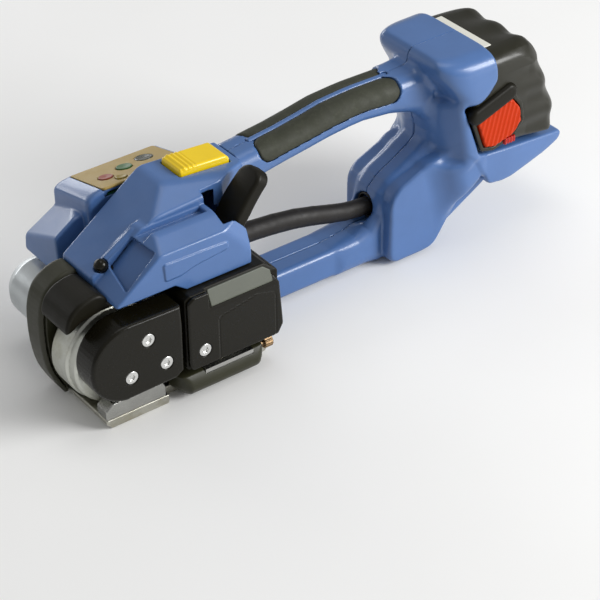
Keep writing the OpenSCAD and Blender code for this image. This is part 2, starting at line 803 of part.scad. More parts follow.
// ---- rocker lever ------------------------------------------------------------
module rocker_lever() {
    color(black) difference() {
        union() {
            hull() {
                side([[-84, 103], [-66, 128], [-61, 124.5], [-78, 98]], -49.5, -27.5);
                side([[-70, 123], [-66.5, 130], [-61, 129], [-59.4, 124]], -46, -31);
            }
            hull() {
                side([[-84, 103], [-76, 98], [-80, 95], [-89, 99]], -48, -29);
                bar_y(lever_x, lever_z, 7, -46, -31);
            }
        }
        bar_y(lever_x, lever_z, pin_r - 1, -60, -20);
    }
}

module lever_pin() {
    color(steel) bar_y(lever_x, lever_z, pin_r - 1.05, -head_near + wall, -25);
}

centred() head_left_cover();
centred() head_right_cover();
centred() handle_left_shell();
centred() handle_right_shell();
centred() left_grip();
centred() right_grip();
centred() keypad_panel();
centred() display_window();
centred() control_board();
centred() gear_frame();
centred() base_plate();
centred() gripper_plate();
centred() weld_anvil();
centred() front_guard();
centred() guard_hood();
centred() weld_housing();
centred() weld_cover();
centred() strap_guide();
centred() guide_knob();
centred() weld_screw();
centred() cap_plug();
centred() weld_motor();
centred() drive_belt();
centred() rocker_pin();
centred() lever_pin();
centred() cable_sleeve();
centred() cable_bushes();
centred() battery_contacts();
centred() handle_screws();
centred() drum_casting();
centred() wheel_cover();
centred() cover_screws();
centred() gear_housing();
centred() tension_motor();
centred() ring_gear();
centred() wheel_bearings();
centred() tension_wheel();
centred() wheel_shaft();
centred() sun_gear();
centred() planet_gear_1();
centred() planet_gear_2();
centred() planet_gear_3();
centred() rocker_lever();
centred() tension_button();
centred() weld_button();
centred() mode_button();
centred() set_button();
centred() weld_shoe();
centred() cutter_blade();
centred() motor_pulley();
centred() eccentric_shaft();
centred() battery_case();
centred() battery_cells();
centred() battery_label();
centred() battery_lips();
centred() near_release();
centred() far_release();
centred() latch_tab();
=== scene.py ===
"""Battery strapping tool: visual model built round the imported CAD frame."""

import math

import bmesh
import bpy
import numpy as np
from mathutils import Matrix, Vector


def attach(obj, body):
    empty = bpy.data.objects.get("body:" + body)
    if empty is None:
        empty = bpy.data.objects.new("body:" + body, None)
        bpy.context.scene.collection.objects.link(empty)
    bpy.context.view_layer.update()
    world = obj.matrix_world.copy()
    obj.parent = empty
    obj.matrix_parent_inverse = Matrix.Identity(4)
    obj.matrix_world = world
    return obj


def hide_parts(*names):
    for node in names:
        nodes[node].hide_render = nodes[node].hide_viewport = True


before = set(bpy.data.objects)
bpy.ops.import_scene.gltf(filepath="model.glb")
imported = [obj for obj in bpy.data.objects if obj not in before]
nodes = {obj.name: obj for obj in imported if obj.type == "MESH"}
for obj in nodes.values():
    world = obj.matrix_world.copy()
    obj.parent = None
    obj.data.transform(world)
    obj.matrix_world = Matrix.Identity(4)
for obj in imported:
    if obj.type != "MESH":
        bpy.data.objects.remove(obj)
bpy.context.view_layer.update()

# Shapes are written in millimetres from the handle's centre plane, as in the CAD source;
# the CAD frame lies 4 mm further along Y.
SHIFT = np.array([0.0, 4.0, 0.0])

# driving sizes and places
WALL = 2.8                     # thickness of the moulded shells
HALF_SEAM = 0.03               # half the gap between the two handle shells
GRIP_HALF = 16                 # half the width of the hand grip
NEAR_FACE = -66                # outermost near face
FOOT_NEAR = -58                # near edge of the foot
WHEEL_AXIS = (-168, 40)        # X and Z of the strap wheel
ROCKER_PIN = (-112, 52)
LEVER_PIN = (-100, 84)
PLUG = (-166.2, -28.0, 96.4)   # ball of the cap plug
CABLE_PORT = (-1, 58)          # Y and Z where the cable leaves the head
CABLE_REAR = 38.6              # height where the cable enters the carrier
SCREW_SEAT = 4.7               # radius of the screw recesses
SCREW_BORE = 2.4


# ---- distance fields ----
def smin(a, b, k):
    """Union with a fillet of about k."""
    h = np.clip(0.5 + 0.5 * (b - a) / k, 0, 1)
    return b + (a - b) * h - k * h * (1 - h)


def smax(a, b, k):
    """Intersection with its edge rounded by about k."""
    return -smin(-a, -b, k)


def inset(points, r):
    """The polygon with every edge moved inwards by r."""
    p = np.array(points, float)
    area = np.sum(p[:, 0] * np.roll(p[:, 1], -1) - np.roll(p[:, 0], -1) * p[:, 1])
    if area < 0:
        p = p[::-1]
    e = np.roll(p, -1, 0) - p
    n = np.stack([-e[:, 1], e[:, 0]], 1) / np.linalg.norm(e, axis=1)[:, None]
    out = []
    for i in range(len(p)):
        a, b = n[i - 1], n[i]
        out.append(p[i] + (a + b) * r / (1 + a @ b))
    return np.array(out)


def polygon(points, u, v, r=0.0):
    """Signed distance to a polygon in the plane of u and v, its outer corners rounded by r."""
    p = inset(points, r) if r else np.array(points, float)
    best = np.full(np.broadcast(u, v).shape, 1e9, np.float32)
    sign = np.ones(best.shape, np.float32)
    for i in range(len(p)):
        (ax, ay), (bx, by) = p[i], p[i - 1]
        ex, ey = bx - ax, by - ay
        wx, wy = u - ax, v - ay
        t = np.clip((wx * ex + wy * ey) / (ex * ex + ey * ey + 1e-12), 0, 1)
        dx, dy = wx - ex * t, wy - ey * t
        best = np.minimum(best, dx * dx + dy * dy)
        c1, c2, c3 = v >= ay, v < by, ex * wy > ey * wx
        flip = (c1 & c2 & c3) | (~c1 & ~c2 & ~c3)
        sign = np.where(flip, -sign, sign)
    return sign * np.sqrt(best) - r


def away(u, v, spot):
    """Distance from a spot in the plane of u and v."""
    return np.sqrt((u - spot[0]) ** 2 + (v - spot[1]) ** 2)


def slab(w, lo, hi):
    """Between two parallel planes."""
    return np.abs(w - (lo + hi) / 2) - (hi - lo) / 2


def meet(a, b, r):
    """Where both hold, with the edge between them rounded by r."""
    if r <= 0:
        return np.maximum(a, b)
    p, q = np.maximum(a + r, 0), np.maximum(b + r, 0)
    return np.sqrt(p * p + q * q) + np.minimum(np.maximum(a + r, b + r), 0) - r


def prism(points, x, y, z, y0, y1, corner=1.0, edge=1.0):
    """XZ outline extruded along Y."""
    return meet(polygon(points, x, z, corner), slab(y, y0, y1), edge)


def box(x, y, z, lo, hi, r=1.0):
    """Block between two corners, its edges rounded by r."""
    q = [slab(w, a, b) + r for w, a, b in zip((x, y, z), lo, hi)]
    out = np.sqrt(sum(np.maximum(c, 0) ** 2 for c in q))
    return out + np.minimum(np.maximum(np.maximum(q[0], q[1]), q[2]), 0) - r


def capsule(x, y, z, a, b, r):
    """Round-ended bar from a to b."""
    a, b = np.array(a, float), np.array(b, float)
    d = b - a
    px, py, pz = x - a[0], y - a[1], z - a[2]
    t = np.clip((px * d[0] + py * d[1] + pz * d[2]) / (d @ d), 0, 1)
    return np.sqrt((px - d[0] * t) ** 2 + (py - d[1] * t) ** 2 + (pz - d[2] * t) ** 2) - r


def hull_planes(points):
    """Normal and distance of each face of the convex hull."""
    bm = bmesh.new()
    for p in points:
        bm.verts.new(p)
    bmesh.ops.convex_hull(bm, input=list(bm.verts))
    bm.normal_update()
    planes = []
    for f in bm.faces:
        n = np.array(f.normal)
        d = float(n @ np.array(f.verts[0].co))
        if not any(n @ m > 0.9995 and abs(d - e) < 0.05 for m, e in planes):
            planes.append((n, d))
    bm.free()
    return planes


def hull(points, k):
    """A convex block through the points, its edges rounded by about k."""
    planes = hull_planes(points)

    def field(x, y, z):
        out = None
        for n, d in planes:
            f = n[0] * x + n[1] * y + n[2] * z - d
            out = f if out is None else smax(out, f, k)
        return out
    return field


def loft(*sections):
    """Corner points of XZ outlines, each at its own Y."""
    return [(x, y, z) for outline, y in sections for x, z in outline]


# ---- meshing ----
def nets(field, lo, hi, h):
    """Quads over the surface where the field is zero, and the normals of the field there."""
    n = [int(math.ceil((b - a) / h)) + 1 for a, b in zip(lo, hi)]
    x = (lo[0] + h * np.arange(n[0], dtype=np.float32))[:, None, None]
    y = (lo[1] + h * np.arange(n[1], dtype=np.float32))[None, :, None]
    z = (lo[2] + h * np.arange(n[2], dtype=np.float32))[None, None, :]
    d = np.broadcast_to(field(x, y, z), n).astype(np.float32)
    # the field is closed at the sides of the grid
    for k in range(3):
        for end in (0, -1):
            idx = [slice(None)] * 3
            idx[k] = end
            d[tuple(idx)] = np.maximum(d[tuple(idx)], 0.01)
    inside = d < 0
    corners = [(i, j, k) for i in (0, 1) for j in (0, 1) for k in (0, 1)]

    def at(a, c):
        return a[c[0]:n[0] - 1 + c[0], c[1]:n[1] - 1 + c[1], c[2]:n[2] - 1 + c[2]]

    count = sum(at(inside, c).astype(np.int8) for c in corners)
    active = (count > 0) & (count < 8)
    cells = np.argwhere(active)
    index = np.full(active.shape, -1, np.int64)
    index[active] = np.arange(len(cells))
    vals = {c: at(d, c)[active] for c in corners}
    # one point in each cell that the surface crosses, at the mean of its edge crossings
    pos = np.zeros((len(cells), 3))
    hits = np.zeros(len(cells))
    for c in corners:
        for axis in range(3):
            if c[axis]:
                continue
            e = list(c)
            e[axis] = 1
            a, b = vals[c], vals[tuple(e)]
            cross = (a < 0) != (b < 0)
            t = np.where(cross, a / np.where(cross, a - b, 1), 0)
            p = np.repeat(np.array([c], float), len(cells), 0)
            p[:, axis] += t
            pos += p * cross[:, None]
            hits += cross
    pos = (cells + pos / hits[:, None]) * h + np.array(lo)
    # one quad across each grid edge that the surface crosses
    quads = []
    for axis in range(3):
        u, v = [(1, 2), (2, 0), (0, 1)][axis]
        a = np.moveaxis(inside, (axis, u, v), (0, 1, 2))
        edge = a[1:, 1:-1, 1:-1] != a[:-1, 1:-1, 1:-1]
        up = a[:-1, 1:-1, 1:-1]
        ind = np.moveaxis(index, (axis, u, v), (0, 1, 2))
        c00, c10 = ind[:, :-1, :-1][edge], ind[:, 1:, :-1][edge]
        c11, c01 = ind[:, 1:, 1:][edge], ind[:, :-1, 1:][edge]
        q = np.stack([c00, c10, c11, c01], 1)
        flip = ~up[edge]
        q[flip] = q[flip][:, ::-1]
        quads.append(q)
    quads = np.concatenate(quads)

    def gradient(p, s=0.05):
        g = np.zeros_like(p)
        for k in range(3):
            q0, q1 = p.copy(), p.copy()
            q0[:, k] -= s
            q1[:, k] += s
            g[:, k] = (field(*q1.T) - field(*q0.T)) / (2 * s)
        return g

    def spread(p):
        """Each point moved half-way to the middle of its neighbours."""
        total, count = np.zeros_like(p), np.zeros(len(p))
        for a in range(4):
            for b in ((a + 1) % 4, (a + 3) % 4):
                count += np.bincount(quads[:, a], minlength=len(p))
                for k in range(3):
                    total[:, k] += np.bincount(quads[:, a], p[quads[:, b], k], len(p))
        return p + 0.5 * (total / np.maximum(count, 1)[:, None] - p)

    # the points are drawn on to the surface, and evened out once
    for turn in range(4):
        if turn == 1:
            pos = spread(pos)
        g = gradient(pos)
        step = (field(*pos.T) / np.maximum((g * g).sum(1), 0.2))[:, None] * g
        length = np.linalg.norm(step, axis=1)[:, None]
        pos = pos - step * np.minimum(1, 0.5 * h / np.maximum(length, 1e-9))
    g = gradient(pos, 0.12)
    return pos, quads, g / np.maximum(np.linalg.norm(g, axis=1)[:, None], 1e-9)


def add_mesh(name, pos, faces, normals, material):
    """Mesh object in metres, shaded by the given normals."""
    mesh = bpy.data.meshes.new(name)
    pts = (np.asarray(pos) + SHIFT) / 1000.0
    mesh.from_pydata([tuple(p) for p in pts], [], [tuple(int(i) for i in f) for f in faces])
    mesh.validate()
    mesh.update()
    mesh.polygons.foreach_set("use_smooth", [True] * len(mesh.polygons))
    if len(mesh.vertices) == len(pos):
        mesh.normals_split_custom_set_from_vertices([tuple(v) for v in normals])
    ob = bpy.data.objects.new(name, mesh)
    bpy.context.scene.collection.objects.link(ob)
    mesh.materials.append(material)
    return ob


def solid(name, field, lo, hi, h, body, stands_for, material):
    """One visual piece: the field meshed at step h between the corners lo and hi."""
    pos, quads, normals = nets(field, lo, hi, h)
    ob = add_mesh(name, pos, quads, normals, material)
    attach(ob, body)
    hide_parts(*stands_for)


# ---- materials ----
class Shader:
    """Builds one procedural material on the Principled shader."""

    def __init__(self, name):
        self.mat = bpy.data.materials.new(name)
        self.mat.use_nodes = True
        self.tree = self.mat.node_tree
        self.bsdf = self.tree.nodes["Principled BSDF"]
        self.coord = self.tree.nodes.new("ShaderNodeTexCoord").outputs["Object"]

    def node(self, kind, **values):
        n = self.tree.nodes.new(kind)
        for key, value in values.items():
            if key in n.inputs:
                n.inputs[key].default_value = value
            else:
                setattr(n, key, value)
        return n

    def link(self, a, b):
        self.tree.links.new(a, b)

    def noise(self, scale, detail=3.0, rough=0.55, stretch=None):
        n = self.node("ShaderNodeTexNoise", Scale=scale, Detail=detail, Roughness=rough)
        if stretch:
            m = self.node("ShaderNodeMapping")
            m.inputs["Scale"].default_value = stretch
            self.link(self.coord, m.inputs["Vector"])
            self.link(m.outputs["Vector"], n.inputs["Vector"])
        else:
            self.link(self.coord, n.inputs["Vector"])
        return n.outputs["Fac"]

    def span(self, value, lo, hi, from_lo=0.3, from_hi=0.7):
        n = self.node("ShaderNodeMapRange")
        n.inputs["From Min"].default_value = from_lo
        n.inputs["From Max"].default_value = from_hi
        n.inputs["To Min"].default_value = lo
        n.inputs["To Max"].default_value = hi
        self.link(value, n.inputs["Value"])
        return n.outputs["Result"]

    def mix(self, fac, a, b):
        n = self.node("ShaderNodeMix", data_type="RGBA")
        self.link(fac, n.inputs["Factor"])
        for socket, value in ((n.inputs[6], a), (n.inputs[7], b)):
            if isinstance(value, tuple):
                socket.default_value = (*value, 1)
            else:
                self.link(value, socket)
        return n.outputs[2]

    def times(self, a, b):
        n = self.node("ShaderNodeMath", operation="MULTIPLY")
        self.link(a, n.inputs[0])
        if isinstance(b, float):
            n.inputs[1].default_value = b
        else:
            self.link(b, n.inputs[1])
        return n.outputs[0]

    def edges(self, lo=0.52, hi=0.62):
        """1 on outer edges, 0 elsewhere."""
        g = self.node("ShaderNodeNewGeometry").outputs["Pointiness"]
        return self.span(g, 0.0, 1.0, lo, hi)

    def bump(self, height, strength, distance, under=None):
        n = self.node("ShaderNodeBump", Strength=strength, Distance=distance)
        self.link(height, n.inputs["Height"])
        if under:
            self.link(under, n.inputs["Normal"])
        return n.outputs["Normal"]


def srgb(r, g, b):
    def lin(c):
        c /= 255.0
        return c / 12.92 if c <= 0.04045 else ((c + 0.055) / 1.055) ** 2.4
    return (lin(r), lin(g), lin(b))


def moulded(name, colour, rough=(0.3, 0.42), grain=1500.0, depth=0.00004, strength=0.2,
            shade=0.12, wear=0.35, worn=None, coat=0.0, specular=0.5):
    """Moulded plastic: fine spark texture, slight mottling, paler rubbed edges."""
    s = Shader(name)
    dark = tuple(c * (1 - shade) for c in colour)
    base = s.mix(s.span(s.noise(38.0, 4.0), 0.0, 1.0), dark, colour)
    rub = s.times(s.edges(), s.span(s.noise(160.0, 5.0, 0.7), 0.0, wear, 0.45, 0.7))
    base = s.mix(rub, base, worn or tuple(min(1, c * 1.5 + 0.04) for c in colour))
    s.link(base, s.bsdf.inputs["Base Color"])
    s.link(s.span(s.noise(90.0, 6.0, 0.65), *rough), s.bsdf.inputs["Roughness"])
    fine = s.bump(s.noise(grain, 2.0, 0.5), strength, depth)
    s.link(s.bump(s.noise(70.0, 2.0), 0.12, 0.0002, fine), s.bsdf.inputs["Normal"])
    s.bsdf.inputs["Coat Weight"].default_value = coat
    s.bsdf.inputs["Coat Roughness"].default_value = 0.12
    s.bsdf.inputs["Specular IOR Level"].default_value = specular
    return s.mat


def metal(name, colour, rough=(0.25, 0.4), stretch=(1, 1, 1), grain=600.0, strength=0.3,
          stain=None):
    """Metal with directional or cast grain, uneven sheen and faint staining."""
    s = Shader(name)
    dark = tuple(c * 0.85 for c in colour)
    base = s.mix(s.span(s.noise(60.0, 5.0, 0.6), 0.0, 1.0), dark, colour)
    if stain:
        base = s.mix(s.span(s.noise(28.0, 6.0, 0.7), 0.0, 0.75, 0.5, 0.72), base, stain)
    bright = tuple(min(1, c * 1.35) for c in colour)
    base = s.mix(s.times(s.edges(0.53, 0.66), 0.6), base, bright)
    s.link(base, s.bsdf.inputs["Base Color"])
    s.bsdf.inputs["Metallic"].default_value = 1.0
    grainy = s.noise(grain, 3.0, 0.6, stretch)
    s.link(s.span(grainy, *rough), s.bsdf.inputs["Roughness"])
    s.link(s.bump(grainy, strength, 0.00006), s.bsdf.inputs["Normal"])
    return s.mat


def rubber(name, colour, rough=(0.62, 0.8), grain=900.0, strength=0.5):
    """Matt rubber with a pebbled skin and some dust."""
    s = Shader(name)
    base = s.mix(s.span(s.noise(50.0, 5.0, 0.6), 0.0, 1.0), tuple(c * 0.75 for c in colour),
                 colour)
    dust = s.span(s.noise(300.0, 4.0, 0.7), 0.0, 0.25, 0.5, 0.75)
    base = s.mix(dust, base, tuple(min(1, c * 2.2 + 0.01) for c in colour))
    s.link(base, s.bsdf.inputs["Base Color"])
    s.link(s.span(s.noise(120.0, 4.0), *rough), s.bsdf.inputs["Roughness"])
    v = s.node("ShaderNodeTexVoronoi", Scale=grain)
    s.link(s.coord, v.inputs["Vector"])
    s.link(s.bump(v.outputs["Distance"], strength, 0.00012), s.bsdf.inputs["Normal"])
    s.bsdf.inputs["Specular IOR Level"].default_value = 0.4
    return s.mat


BLUE = moulded("blue_housing", srgb(74, 109, 163), rough=(0.28, 0.4), shade=0.1, wear=0.2,
               coat=0.25)
BLACK = moulded("black_plastic", srgb(21, 19, 10), rough=(0.36, 0.5), wear=0.2,
                worn=srgb(54, 52, 38), specular=0.18)
GLOSS = moulded("black_gloss", srgb(19, 17, 8), rough=(0.2, 0.32), grain=700.0, depth=0.0001,
                strength=0.1, wear=0.25, worn=srgb(70, 68, 50), coat=0.06, specular=0.22)
PACK = moulded("pack_plastic", srgb(30, 29, 17), rough=(0.3, 0.45), wear=0.3,
               worn=srgb(74, 70, 56), coat=0.1, specular=0.35)
GUARD = moulded("guard_paint", srgb(46, 46, 30), rough=(0.34, 0.48), wear=0.3,
                worn=srgb(90, 88, 72), specular=0.35)
# painted highlight: this grey-green stands for the sheen on the sloping facet of the black
# welding unit
SLOPE_SHEEN = moulded("slope_painted_sheen", srgb(80, 84, 72), rough=(0.36, 0.5), wear=0.3,
                worn=srgb(130, 132, 116))
GRIP = rubber("rubber_grip", srgb(52, 54, 42))
SLEEVE = rubber("rubber_sleeve", srgb(22, 18, 14), rough=(0.5, 0.66), grain=1400.0, strength=0.25)
BELT = rubber("rubber_belt", srgb(26, 26, 26))
YELLOW = moulded("yellow_button", srgb(240, 204, 0), rough=(0.3, 0.4), shade=0.06, wear=0.15,
                 worn=srgb(255, 226, 110), coat=0.2)
ORANGE = moulded("orange_button", srgb(186, 48, 0), rough=(0.4, 0.52), shade=0.08, wear=0.15,
                 worn=srgb(230, 96, 30), specular=0.15)
RED = moulded("red_tab", srgb(176, 22, 6), rough=(0.36, 0.48), wear=0.2)
CAST = metal("aluminium", (0.60, 0.61, 0.56), rough=(0.36, 0.52), grain=1100.0, strength=0.45,
             stain=srgb(150, 148, 120))
MOTOR_CAST = metal("motor_aluminium", (0.54, 0.57, 0.58), rough=(0.3, 0.42), grain=900.0,
                   strength=0.25)
STEEL = metal("steel", (0.52, 0.51, 0.45), rough=(0.26, 0.44), stretch=(1, 12, 12), grain=260.0,
              stain=srgb(132, 122, 86))
HARD = metal("hard_steel", (0.42, 0.42, 0.40), rough=(0.22, 0.36), stretch=(10, 1, 10),
             grain=300.0)
ZINC = metal("zinc_screws", (0.80, 0.80, 0.78), rough=(0.2, 0.34), grain=900.0)
BRONZE = metal("bronze", (0.30, 0.20, 0.11), rough=(0.34, 0.5), grain=800.0)
KEYPAD = moulded("keypad", srgb(164, 138, 70), rough=(0.4, 0.5), shade=0.05, wear=0.1)
DISPLAY = moulded("display", srgb(46, 50, 26), rough=(0.12, 0.2), wear=0.0, coat=0.6)
GREEN = moulded("green_key", srgb(52, 98, 46), rough=(0.35, 0.45), wear=0.15)
KEY_RED = moulded("red_key", srgb(146, 66, 44), rough=(0.35, 0.45), wear=0.15)
OCHRE = moulded("ochre_key", srgb(152, 130, 44), rough=(0.35, 0.45), wear=0.15)
BOARD = moulded("circuit_board", srgb(24, 86, 44), rough=(0.3, 0.45))
LABEL = moulded("label", srgb(222, 221, 210), rough=(0.4, 0.5), shade=0.04, wear=0.0)
WRAP = moulded("cell_wrap", srgb(40, 100, 72), rough=(0.3, 0.4))
CONTACT = metal("contact_brass", (0.68, 0.52, 0.24), rough=(0.24, 0.36))

# CAD nodes that stay visible as they are
CARRIED = {
    "control_board": BOARD, "gear_frame": CAST, "motor_pulley": CAST, "weld_anvil": HARD,
    "rocker_pin": HARD, "lever_pin": HARD, "ring_gear": HARD, "tension_wheel": HARD,
    "wheel_shaft": HARD, "sun_gear": HARD, "planet_gear_1": HARD, "planet_gear_2": HARD,
    "planet_gear_3": HARD, "weld_shoe": HARD, "cutter_blade": HARD, "eccentric_shaft": HARD,
    "weld_motor": STEEL, "handle_screws": STEEL, "tension_motor": STEEL, "drive_belt": BELT,
    "battery_contacts": CONTACT, "wheel_bearings": ZINC, "battery_cells": WRAP,
}
for name, material in CARRIED.items():
    if name in nodes:
        nodes[name].data.materials.clear()
        nodes[name].data.materials.append(material)


# ---- blue handle, pillar and battery carrier ----
GRIP_X = [-60, -54, -36, -19, -1, 17, 34, 44, 77, 96]
GRIP_TOP = [121.5, 122, 124, 126, 129, 132.4, 133.6, 134, 133.6, 133]
GRIP_LOW = [98, 99, 101.7, 104.6, 107.2, 110, 111.6, 112, 108.6, 104]
HOLE = [(-56, 99), (-36, 101.7), (-19, 104.6), (0, 107.3), (24, 110.8), (50, 112), (70, 110.2),
        (85, 105.5), (95, 97), (98.6, 88), (98, 80), (90, 73.5), (75, 65), (64, 59.5), (57.5, 53),
        (53.5, 39), (47, 30.5), (38, 26.4), (26, 24.4), (-80, 23.6)]
PILLAR = [(60, 133), (78, 134), (92, 136), (104, 128), (112.4, 110), (124, 77), (117, 27),
          (105, 18), (99, 2), (94, 0.2), (56, 0.2), (46, 3.2), (20, 3), (20, 24.4), (60, 60),
          (84, 100), (70, 110)]
ARM = [(-76, 3), (-76, 24), (56, 24.4), (60, 3)]


def grip_heights(x):
    """Height of the grip's top and underside."""
    top = np.interp(x, GRIP_X, GRIP_TOP).astype(np.float32)
    low = np.interp(x, GRIP_X, GRIP_LOW).astype(np.float32)
    return top, low


def rounded(u, v, r):
    """Distance to a rectangle grown by r, from the distances u and v past its sides."""
    outside = np.sqrt(np.maximum(u, 0) ** 2 + np.maximum(v, 0) ** 2)
    return outside + np.minimum(np.maximum(u, v), 0) - r


def grip(x, y, z):
    top, low = grip_heights(x)
    r = 10.0
    u = np.abs(y) - (GRIP_HALF - r)
    v = np.abs(z - (top + low) / 2) - ((top - low) / 2 - r)
    return np.maximum(rounded(u, v, r), np.maximum(-54 - x, x - 96))


def mirrored(outline, y):
    return loft((outline, -y), (outline, y))


LOWER_SIDE = [(58, 6), (58.5, 50), (64, 58), (99, 73), (121, 74), (122, 40), (111, 24),
              (98, 4.6), (92, 1.8), (62, 1.8)]
LOWER = hull(mirrored(LOWER_SIDE, 25), 3.2)
SHELF = hull(mirrored([(104, 66), (128, 72), (128, 50), (112, 44)], 37.5)
             + mirrored([(90, 68), (112, 30), (100, 20)], 22), 5.0)
TRAY = hull(mirrored([(120, 70.5), (150, 42), (132, 45)], 38.6)
            + mirrored([(202.4, 60), (203.4, 58), (201, 53), (190, 48.5)], 32.8), 2.6)
CHEEKS = hull(mirrored([(95, 110), (108.5, 111.5), (124, 76), (100, 66)], 15)
              + mirrored([(104, 116), (109, 113), (123.5, 74), (114, 66)], 38.5), 4.0)
KEEL = hull(mirrored([(96, 2), (104.5, 19), (150, 33), (160, 44), (110, 60)], 17.5), 4.0)
HOOD = hull(mirrored([(88, 139), (92, 148), (136, 148), (138, 128), (122, 111), (106, 111),
                      (101, 124)], 34)
            + mirrored([(99, 135), (104, 142.5), (136, 144), (138, 128), (122, 111), (108, 111),
                        (105, 124)], 42.2), 6.5)
PACK_MID = [(107, 124), (110, 138), (115, 142.6), (166, 142.6), (175, 134), (194, 84),
            (193.5, 70), (189, 64.4), (129, 71.2), (123.6, 84), (113.4, 112)]
PACK_SIDE = [(109, 124), (112, 134), (117, 137), (162, 137), (170, 130), (189, 84),
             (188.5, 67.5), (131, 74), (125, 86), (115, 112)]
PACK_BODY = hull(mirrored(PACK_MID, 32) + mirrored(PACK_SIDE, 39), 4.0)


def carrier(x, y, z):
    hole = polygon(HOLE, x, z)
    pillar = smax(polygon(PILLAR, x, z), -hole, 7.0)
    ay = np.abs(y)
    pillar = meet(pillar, ay - GRIP_HALF, 8.0)
    arm = meet(polygon(ARM, x, z, 3.5), ay - 14.5, 4.0)
    d = smin(grip(x, y, z), pillar, 5.0)
    d = smin(d, arm, 4.0)
    d = smin(d, LOWER(x, y, z), 1.6)
    d = smin(d, SHELF(x, y, z), 7.0)
    d = smin(d, smin(TRAY(x, y, z), KEEL(x, y, z), 6.0), 3.0)
    d = smin(d, CHEEKS(x, y, z), 6.0)
    # nothing of the tray stands into the battery's bay
    bay = polygon([(109.5, 112), (126, 71.3), (215, 71.3), (215, 112)], x, z)
    d = smax(d, -np.maximum(bay, 100 - x), 1.2)
    # the hood ends in a rounded lobe on each side
    lobe = polygon([(84, 150), (131, 150), (133.8, 126), (129, 117), (119, 111.2), (104, 111.2),
                    (84, 126)], x, z, 5.0)
    hood = smax(HOOD(x, y, z), lobe, 3.0)
    hood = smax(hood, z - 146.9, 0.6)
    d = smin(d, hood, 5.0)
    return smax(d, -(PACK_BODY(x, y, z) - 0.5), 0.8)


def inlay(x, y, z, grow=0.0):
    """Long rounded outline of the rubber inlays, measured round the grip's section."""
    top, low = grip_heights(x)
    height = top - low
    fold = GRIP_HALF - np.abs(y)
    v = (z - low) + np.where(z > low + 0.45 * height, fold, -fold)
    p = np.abs(x - 16.5) - (55.5 - 9 + grow)
    q = np.abs(v - (25 + height) / 2) - ((height + 2.6) / 2 - 9 + grow)
    return rounded(p, q, 9)


def crest(x, y, z, half):
    """The blue band along the top of the grip, between the inlays."""
    return np.maximum(np.maximum(np.abs(y) - half, np.abs(x - 16.5) - 53.4 - half), 115 - z)


def crest_strip(x, y, z):
    skin = grip(x, y, z) - 0.5 * np.clip(1 - (y / 2.2) ** 2, 0, 1)
    return np.maximum(meet(crest(x, y, z, 2.0), skin, 0.8), -grip(x, y, z) - 2.8)


def shell_field(side):
    def field(x, y, z):
        d = carrier(x, y, z)
        skin = grip(x, y, z) + 3.0
        cut = np.maximum(np.minimum(inlay(x, y, z, 0.15), crest(x, y, z, 2.2)), -skin)
        d = smax(d, -cut, 0.8)
        port = np.sqrt(y * y + (z - CABLE_REAR) ** 2) - 9.6
        d = smax(d, -np.maximum(port, slab(x, 40, 61)), 1.5)
        return np.maximum(d, side * y + HALF_SEAM)
    return field


def inlay_field(side):
    def field(x, y, z):
        skin = grip(x, y, z)
        d = smax(inlay(x, y, z, -0.2), skin - 0.4, 1.2)
        d = np.maximum(d, -(skin + 2.8))
        return np.maximum(d, side * y + 2.3)
    return field


HANDLE_STEP = 1.3
SIDES = (("left", 1), ("right", -1))
for name, side in SIDES:
    y0, y1 = sorted((3 * side, -47 * side))
    solid(f"handle_{name}", shell_field(side), (-57, y0, -3), (213, y1, 151), HANDLE_STEP,
          "frame", [f"handle_{name}_shell"], BLUE)
solid("crest_strip", crest_strip, (-42, -4, 110), (75, 4, 138), 0.7, "frame",
      ["handle_left_shell"], BLUE)
for name, side in SIDES:
    y0, y1 = sorted((2 * side, -18 * side))
    solid(f"inlay_{name}", inlay_field(side), (-45, y0, 100), (78, y1, 138), 1.0, "frame",
          [f"{name}_grip"], GRIP)


# ---- head housing ----
def plane(x, y, z, normal, point):
    n = np.array(normal, float)
    n /= np.linalg.norm(n)
    return n[0] * (x - point[0]) + n[1] * (y - point[1]) + n[2] * (z - point[2])


def convex(x, y, z, planes, k, w=0.0):
    """Where all half-spaces hold, their edges rounded by about k, moved inwards by w."""
    d = None
    for normal, point in planes:
        f = plane(x, y, z, normal, point) + w
        d = f if d is None else smax(d, f, k)
    return d


FRONT_SLOPE = ((-0.591, -0.1245, 0.797), (-141, -56, 107.5))
NEAR_BLOCK = [FRONT_SLOPE, ((0, -0.42, 0.907), (-120, -56, 107)), ((0, -1, 0), (0, -56, 0)),
              ((0.362, -0.87, 0.335), (-94.5, -56, 107)), ((1, 0, 0), (-76, 0, 0)),
              ((0, 0, 1), (0, 0, 113.4)), ((0, 1, 0), (0, -22, 0)), ((-1, 0, 0), (-173.4, 0, 0))]
HUMP_BLOCK = [((-0.47, 0, 0.883), (-111, 0, 126)), ((0.067, 0, 1), (-113, 0, 126)),
              ((-0.06, -0.42, 0.905), (-112, -12.2, 126)), ((0, -1, 0), (0, -31, 0)),
              ((0.392, -0.92, 0), (-88, -31, 0)), ((0, 1, 0), (0, 13.8, 0)),
              ((-0.17, 0.985, 0), (-112, 13.8, 0)), ((-1, 0, -0.1), (-175, 0, 92)),
              ((1, 0, 0), (-54.2, 0, 0))]
SHROUD = [(-143, 60), (-143, 68), (-140, 90), (-76.2, 90), (-76.2, 34.3), (-120, 34.3)]


def near_floor(x):
    """Lower edge of the near block; the next two are for the hump and its hollow."""
    return np.interp(x, [-132, -124], [82.5, 76.7])


def hump_floor(x):
    return np.interp(x, [-150, -140, -76.2, -75.8, -54], [84, 66.4, 66.4, 87, 99])


def hump_inner_floor(x):
    return np.interp(x, [-150, -140, -79.2, -78.8, -54], [86.8, 69.2, 69.2, 88.6, 101.8])


